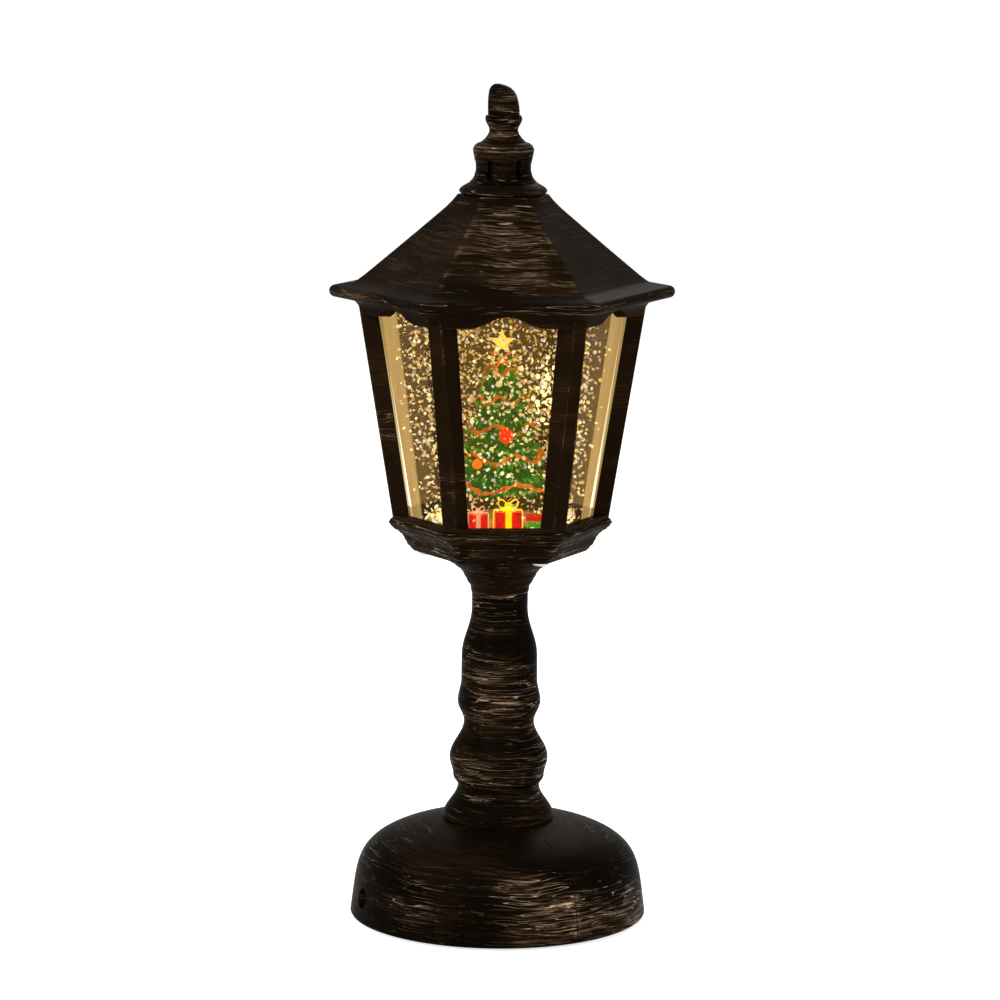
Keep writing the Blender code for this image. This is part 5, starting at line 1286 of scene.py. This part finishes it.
# Painted light: the snow gives off some of its own colour, as if the lights under the tank shone on it.
dress(moulded("snow", (0.95, 0.90, 0.76), (0.56, 0.50, 0.36), 0.7, 1500.0, 420.0, 1.0, 0.8), "scene_ground")
plain = ("plastic", "foam", "rubber", "nylon", "wire")
print("moulded finishes on", sum(m.name.split("_")[0] in plain for m in bpy.data.materials), "materials")

# %% [markdown]
# ## Metal
# The screws, the motor can and the contact plates are plated steel. Plating over a drawn or
# rolled face keeps its faint lines, so the noise is pulled long one way.


# %% Plated steel
def steel(name, colour, deeper, roughness, pull=(2500.0, 2500.0, 180.0)):
    """Plated steel. pull is how fine its lines are along each axis."""
    material, tree, shader = finish(name)
    lines = noise(tree, stretched(tree, place_in(tree), *pull), 1.0)
    feed(tree, shader, {
        "Base Color": mixed(tree, ramp(tree, lines, 0.3, 0.7), (*deeper, 1), (*colour, 1)),
        "Roughness": ramp(tree, lines, 0.3, 0.7, roughness + 0.1, roughness),
        "Metallic": 1.0,
        "Normal": bumped(tree, 0.15, 0.00005, lines),
    })
    return material


screws = [f"base_screw_{k}" for k in range(1, 5)] + [f"tray_screw_{k}" for k in range(1, 4)]
dress(steel("steel_screw", (0.62, 0.61, 0.60), (0.44, 0.43, 0.42), 0.28, (900.0, 900.0, 2400.0)),
      *screws, "door_screw", "finial_screw")
dress(steel("steel_can", (0.58, 0.57, 0.55), (0.42, 0.41, 0.40), 0.35, (2200.0, 2200.0, 120.0)), "motor_can")
dress(steel("steel_shaft", (0.66, 0.66, 0.67), (0.52, 0.52, 0.53), 0.18), "motor_shaft", "impeller_pin")
dress(steel("nickel_plate", (0.70, 0.66, 0.56), (0.52, 0.48, 0.40), 0.3, (300.0, 2400.0, 2400.0)),
      "contact_plate_front", "contact_plate_rear")

# %% [markdown]
# ## Socket, cells, boards and trunk
# These each have a pattern of their own. The socket is black with a bright pin in its middle,
# told apart by the distance from the socket's axis. A cell's jacket changes colour a quarter of
# the way along. A board's tracks show as a darker green under its varnish. The trunk's bark runs
# upright, and it gives off a little of its own colour as painted light.

# %% Patterned finishes
material, tree, shader = finish("socket_and_pin")
_, y, z = split(tree, place_in(tree))
off_y, off_z = minus(tree, y, socket_y), minus(tree, z, socket_z)
away = math(tree, "SQRT", plus(tree, times(tree, off_y, off_y), times(tree, off_z, off_z)))
pin = ramp(tree, away, 1.2 * MM, 0.9 * MM)
scratches = noise(tree, stretched(tree, place_in(tree), 300.0, 2500.0, 2500.0), 1.0)
black = mixed(tree, scratches, (0.012, 0.011, 0.010, 1), (0.030, 0.028, 0.026, 1))
bright = mixed(tree, scratches, (0.62, 0.60, 0.55, 1), (0.85, 0.83, 0.78, 1))
feed(tree, shader, {"Base Color": mixed(tree, pin, black, bright), "Metallic": pin, "Roughness": 0.3})
dress(material, "dc_jack")

for k, name in enumerate(("battery_1", "battery_2", "battery_3")):
    low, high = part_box(name)
    length_way = max(range(3), key=lambda axis: high[axis] - low[axis])
    material, tree, shader = finish(f"{name}_jacket")
    share = ramp(tree, split(tree, place_in(tree))[length_way], low[length_way], high[length_way])
    flip = share if k % 2 == 0 else minus(tree, 1.0, share)
    scuffs = noise(tree, place_in(tree), 700.0)
    dark = mixed(tree, scuffs, (0.010, 0.012, 0.016, 1), (0.040, 0.044, 0.055, 1))
    warm = mixed(tree, scuffs, (0.42, 0.20, 0.07, 1), (0.62, 0.32, 0.12, 1))
    feed(tree, shader, {"Base Color": mixed(tree, ramp(tree, flip, 0.72, 0.735), dark, warm),
                        "Roughness": ramp(tree, scuffs, 0.3, 0.7, 0.25, 0.42), "Metallic": 0.35})
    dress(material, name)

material, tree, shader = finish("board_varnish")
place = place_in(tree)
cells = node(tree, "TexVoronoi", {"Vector": place, "Scale": 420.0, "Randomness": 0.4}, distance="CHEBYCHEV")
track = ramp(tree, cells.outputs["Distance"], 0.30, 0.34)
feed(tree, shader, {
    "Base Color": mixed(tree, track, (0.016, 0.17, 0.055, 1), (0.008, 0.085, 0.030, 1)),
    "Roughness": ramp(tree, noise(tree, place, 900.0), 0.3, 0.7, 0.3, 0.42),
    "Normal": bumped(tree, 0.3, 0.00005, track),
})
dress(material, "light_board", "control_board")

material, tree, shader = finish("bark")
ridges = noise(tree, stretched(tree, place_in(tree), 1600.0, 1600.0, 260.0), 1.0, 3.0, 0.6)
shown = mixed(tree, ramp(tree, ridges, 0.35, 0.65), (0.045, 0.020, 0.008, 1), (0.24, 0.12, 0.05, 1))
# Painted light: the bark gives off a little of its own colour, as if the lights under the tank shone on it.
feed(tree, shader, {"Base Color": shown, "Emission Color": shown, "Emission Strength": 0.6, "Roughness": 0.8,
                    "Normal": bumped(tree, 0.8, 0.0003, ridges)})
dress(material, "tree_trunk")
print("nodes with no material:", [name for name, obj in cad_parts.items() if not obj.data.materials])

# %% [markdown]
# ## Camera
# The lamp was photographed from a little above, with a long lens and a hint of roll.

# %% Camera
camera = linked("camera", bpy.data.cameras.new("camera"))
bpy.context.scene.camera = camera
camera.location = (-0.0585, -1.3393, 0.3581)
aim, roll = Vector((0, 0, 0.1314)) - camera.location, Matrix.Rotation(radians(0.47), 3, "Z")
camera.rotation_euler = (aim.to_track_quat("-Z", "Y") @ roll.to_quaternion()).to_euler()
camera.data.lens, camera.data.sensor_width, camera.data.shift_x = 158.4, 36.0, -0.0007
camera.data.clip_start, camera.data.clip_end = 0.05, 50
print("the camera stands", round(aim.length, 2), "m away")

# %% [markdown]
# ## Floor, backdrop and light
# A pale floor, a white surround and three soft lamps. From below the floor is clear, so that the
# plate, the door and the switch can be looked at too.

# %% Floor and white surround
floor_half, floor_height = 6, -0.00003
corners = [(x * floor_half, y * floor_half, floor_height) for x, y in ((-1, -1), (1, -1), (1, 1), (-1, 1))]
floor = linked("floor", mesh_of("floor", corners, [(0, 1, 2, 3)]))
floor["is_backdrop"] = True


def seen_in(tree):
    """1 where a ray from the camera arrives, straight, mirrored or through a clear piece."""
    rays = node(tree, "LightPath").outputs
    direct = math(tree, "MAXIMUM", rays["Is Camera Ray"], rays["Is Glossy Ray"])
    return math(tree, "MAXIMUM", direct, rays["Is Transmission Ray"])


material, tree, shader = finish("pale_floor")
feed(tree, shader, {
    "Base Color": (0.86, 0.86, 0.85, 1), "Roughness": 0.9, "Specular IOR Level": 0.1,
    "Emission Strength": times(tree, seen_in(tree), 0.75), "Emission Color": (1, 1, 1, 1),
    "Alpha": minus(tree, 1.0, node(tree, "NewGeometry").outputs["Backfacing"]),
})
dress(material, floor)

world = bpy.data.worlds.new("surround")
bpy.context.scene.world = world
world.use_nodes = True
tree = world.node_tree
feed(tree, tree.nodes["Background"].inputs,
     {"Color": (1, 1, 1, 1), "Strength": plus(tree, times(tree, seen_in(tree), 0.7), 0.3)})

# %% Lamps
for name, place, size, power in (("key", (-0.55, -0.75, 0.75), 0.35, 9), ("fill", (0.8, -0.5, 0.45), 0.6, 3),
                                 ("back", (0.2, 0.9, 0.8), 0.6, 4)):
    light = bpy.data.lights.new(name, "AREA")
    light.shape, light.size, light.energy = "DISK", size, power
    lamp = linked(name, light)
    lamp.location = place
    lamp.rotation_euler = (Vector((0, 0, 0.12)) - lamp.location).to_track_quat("-Z", "Y").to_euler()
bpy.context.scene.view_settings.view_transform = "Standard"

# %% [markdown]
# ## Closing
# The visual model must stay inside the measured one, so both boxes are written out.

# %% Write out the boxes and finish
shown_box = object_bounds()
shown_size, cad_size = ([round((b - a) / MM, 1) for a, b in zip(*box)] for box in (shown_box, cad_box))
print("shown", shown_size, "of", cad_size)
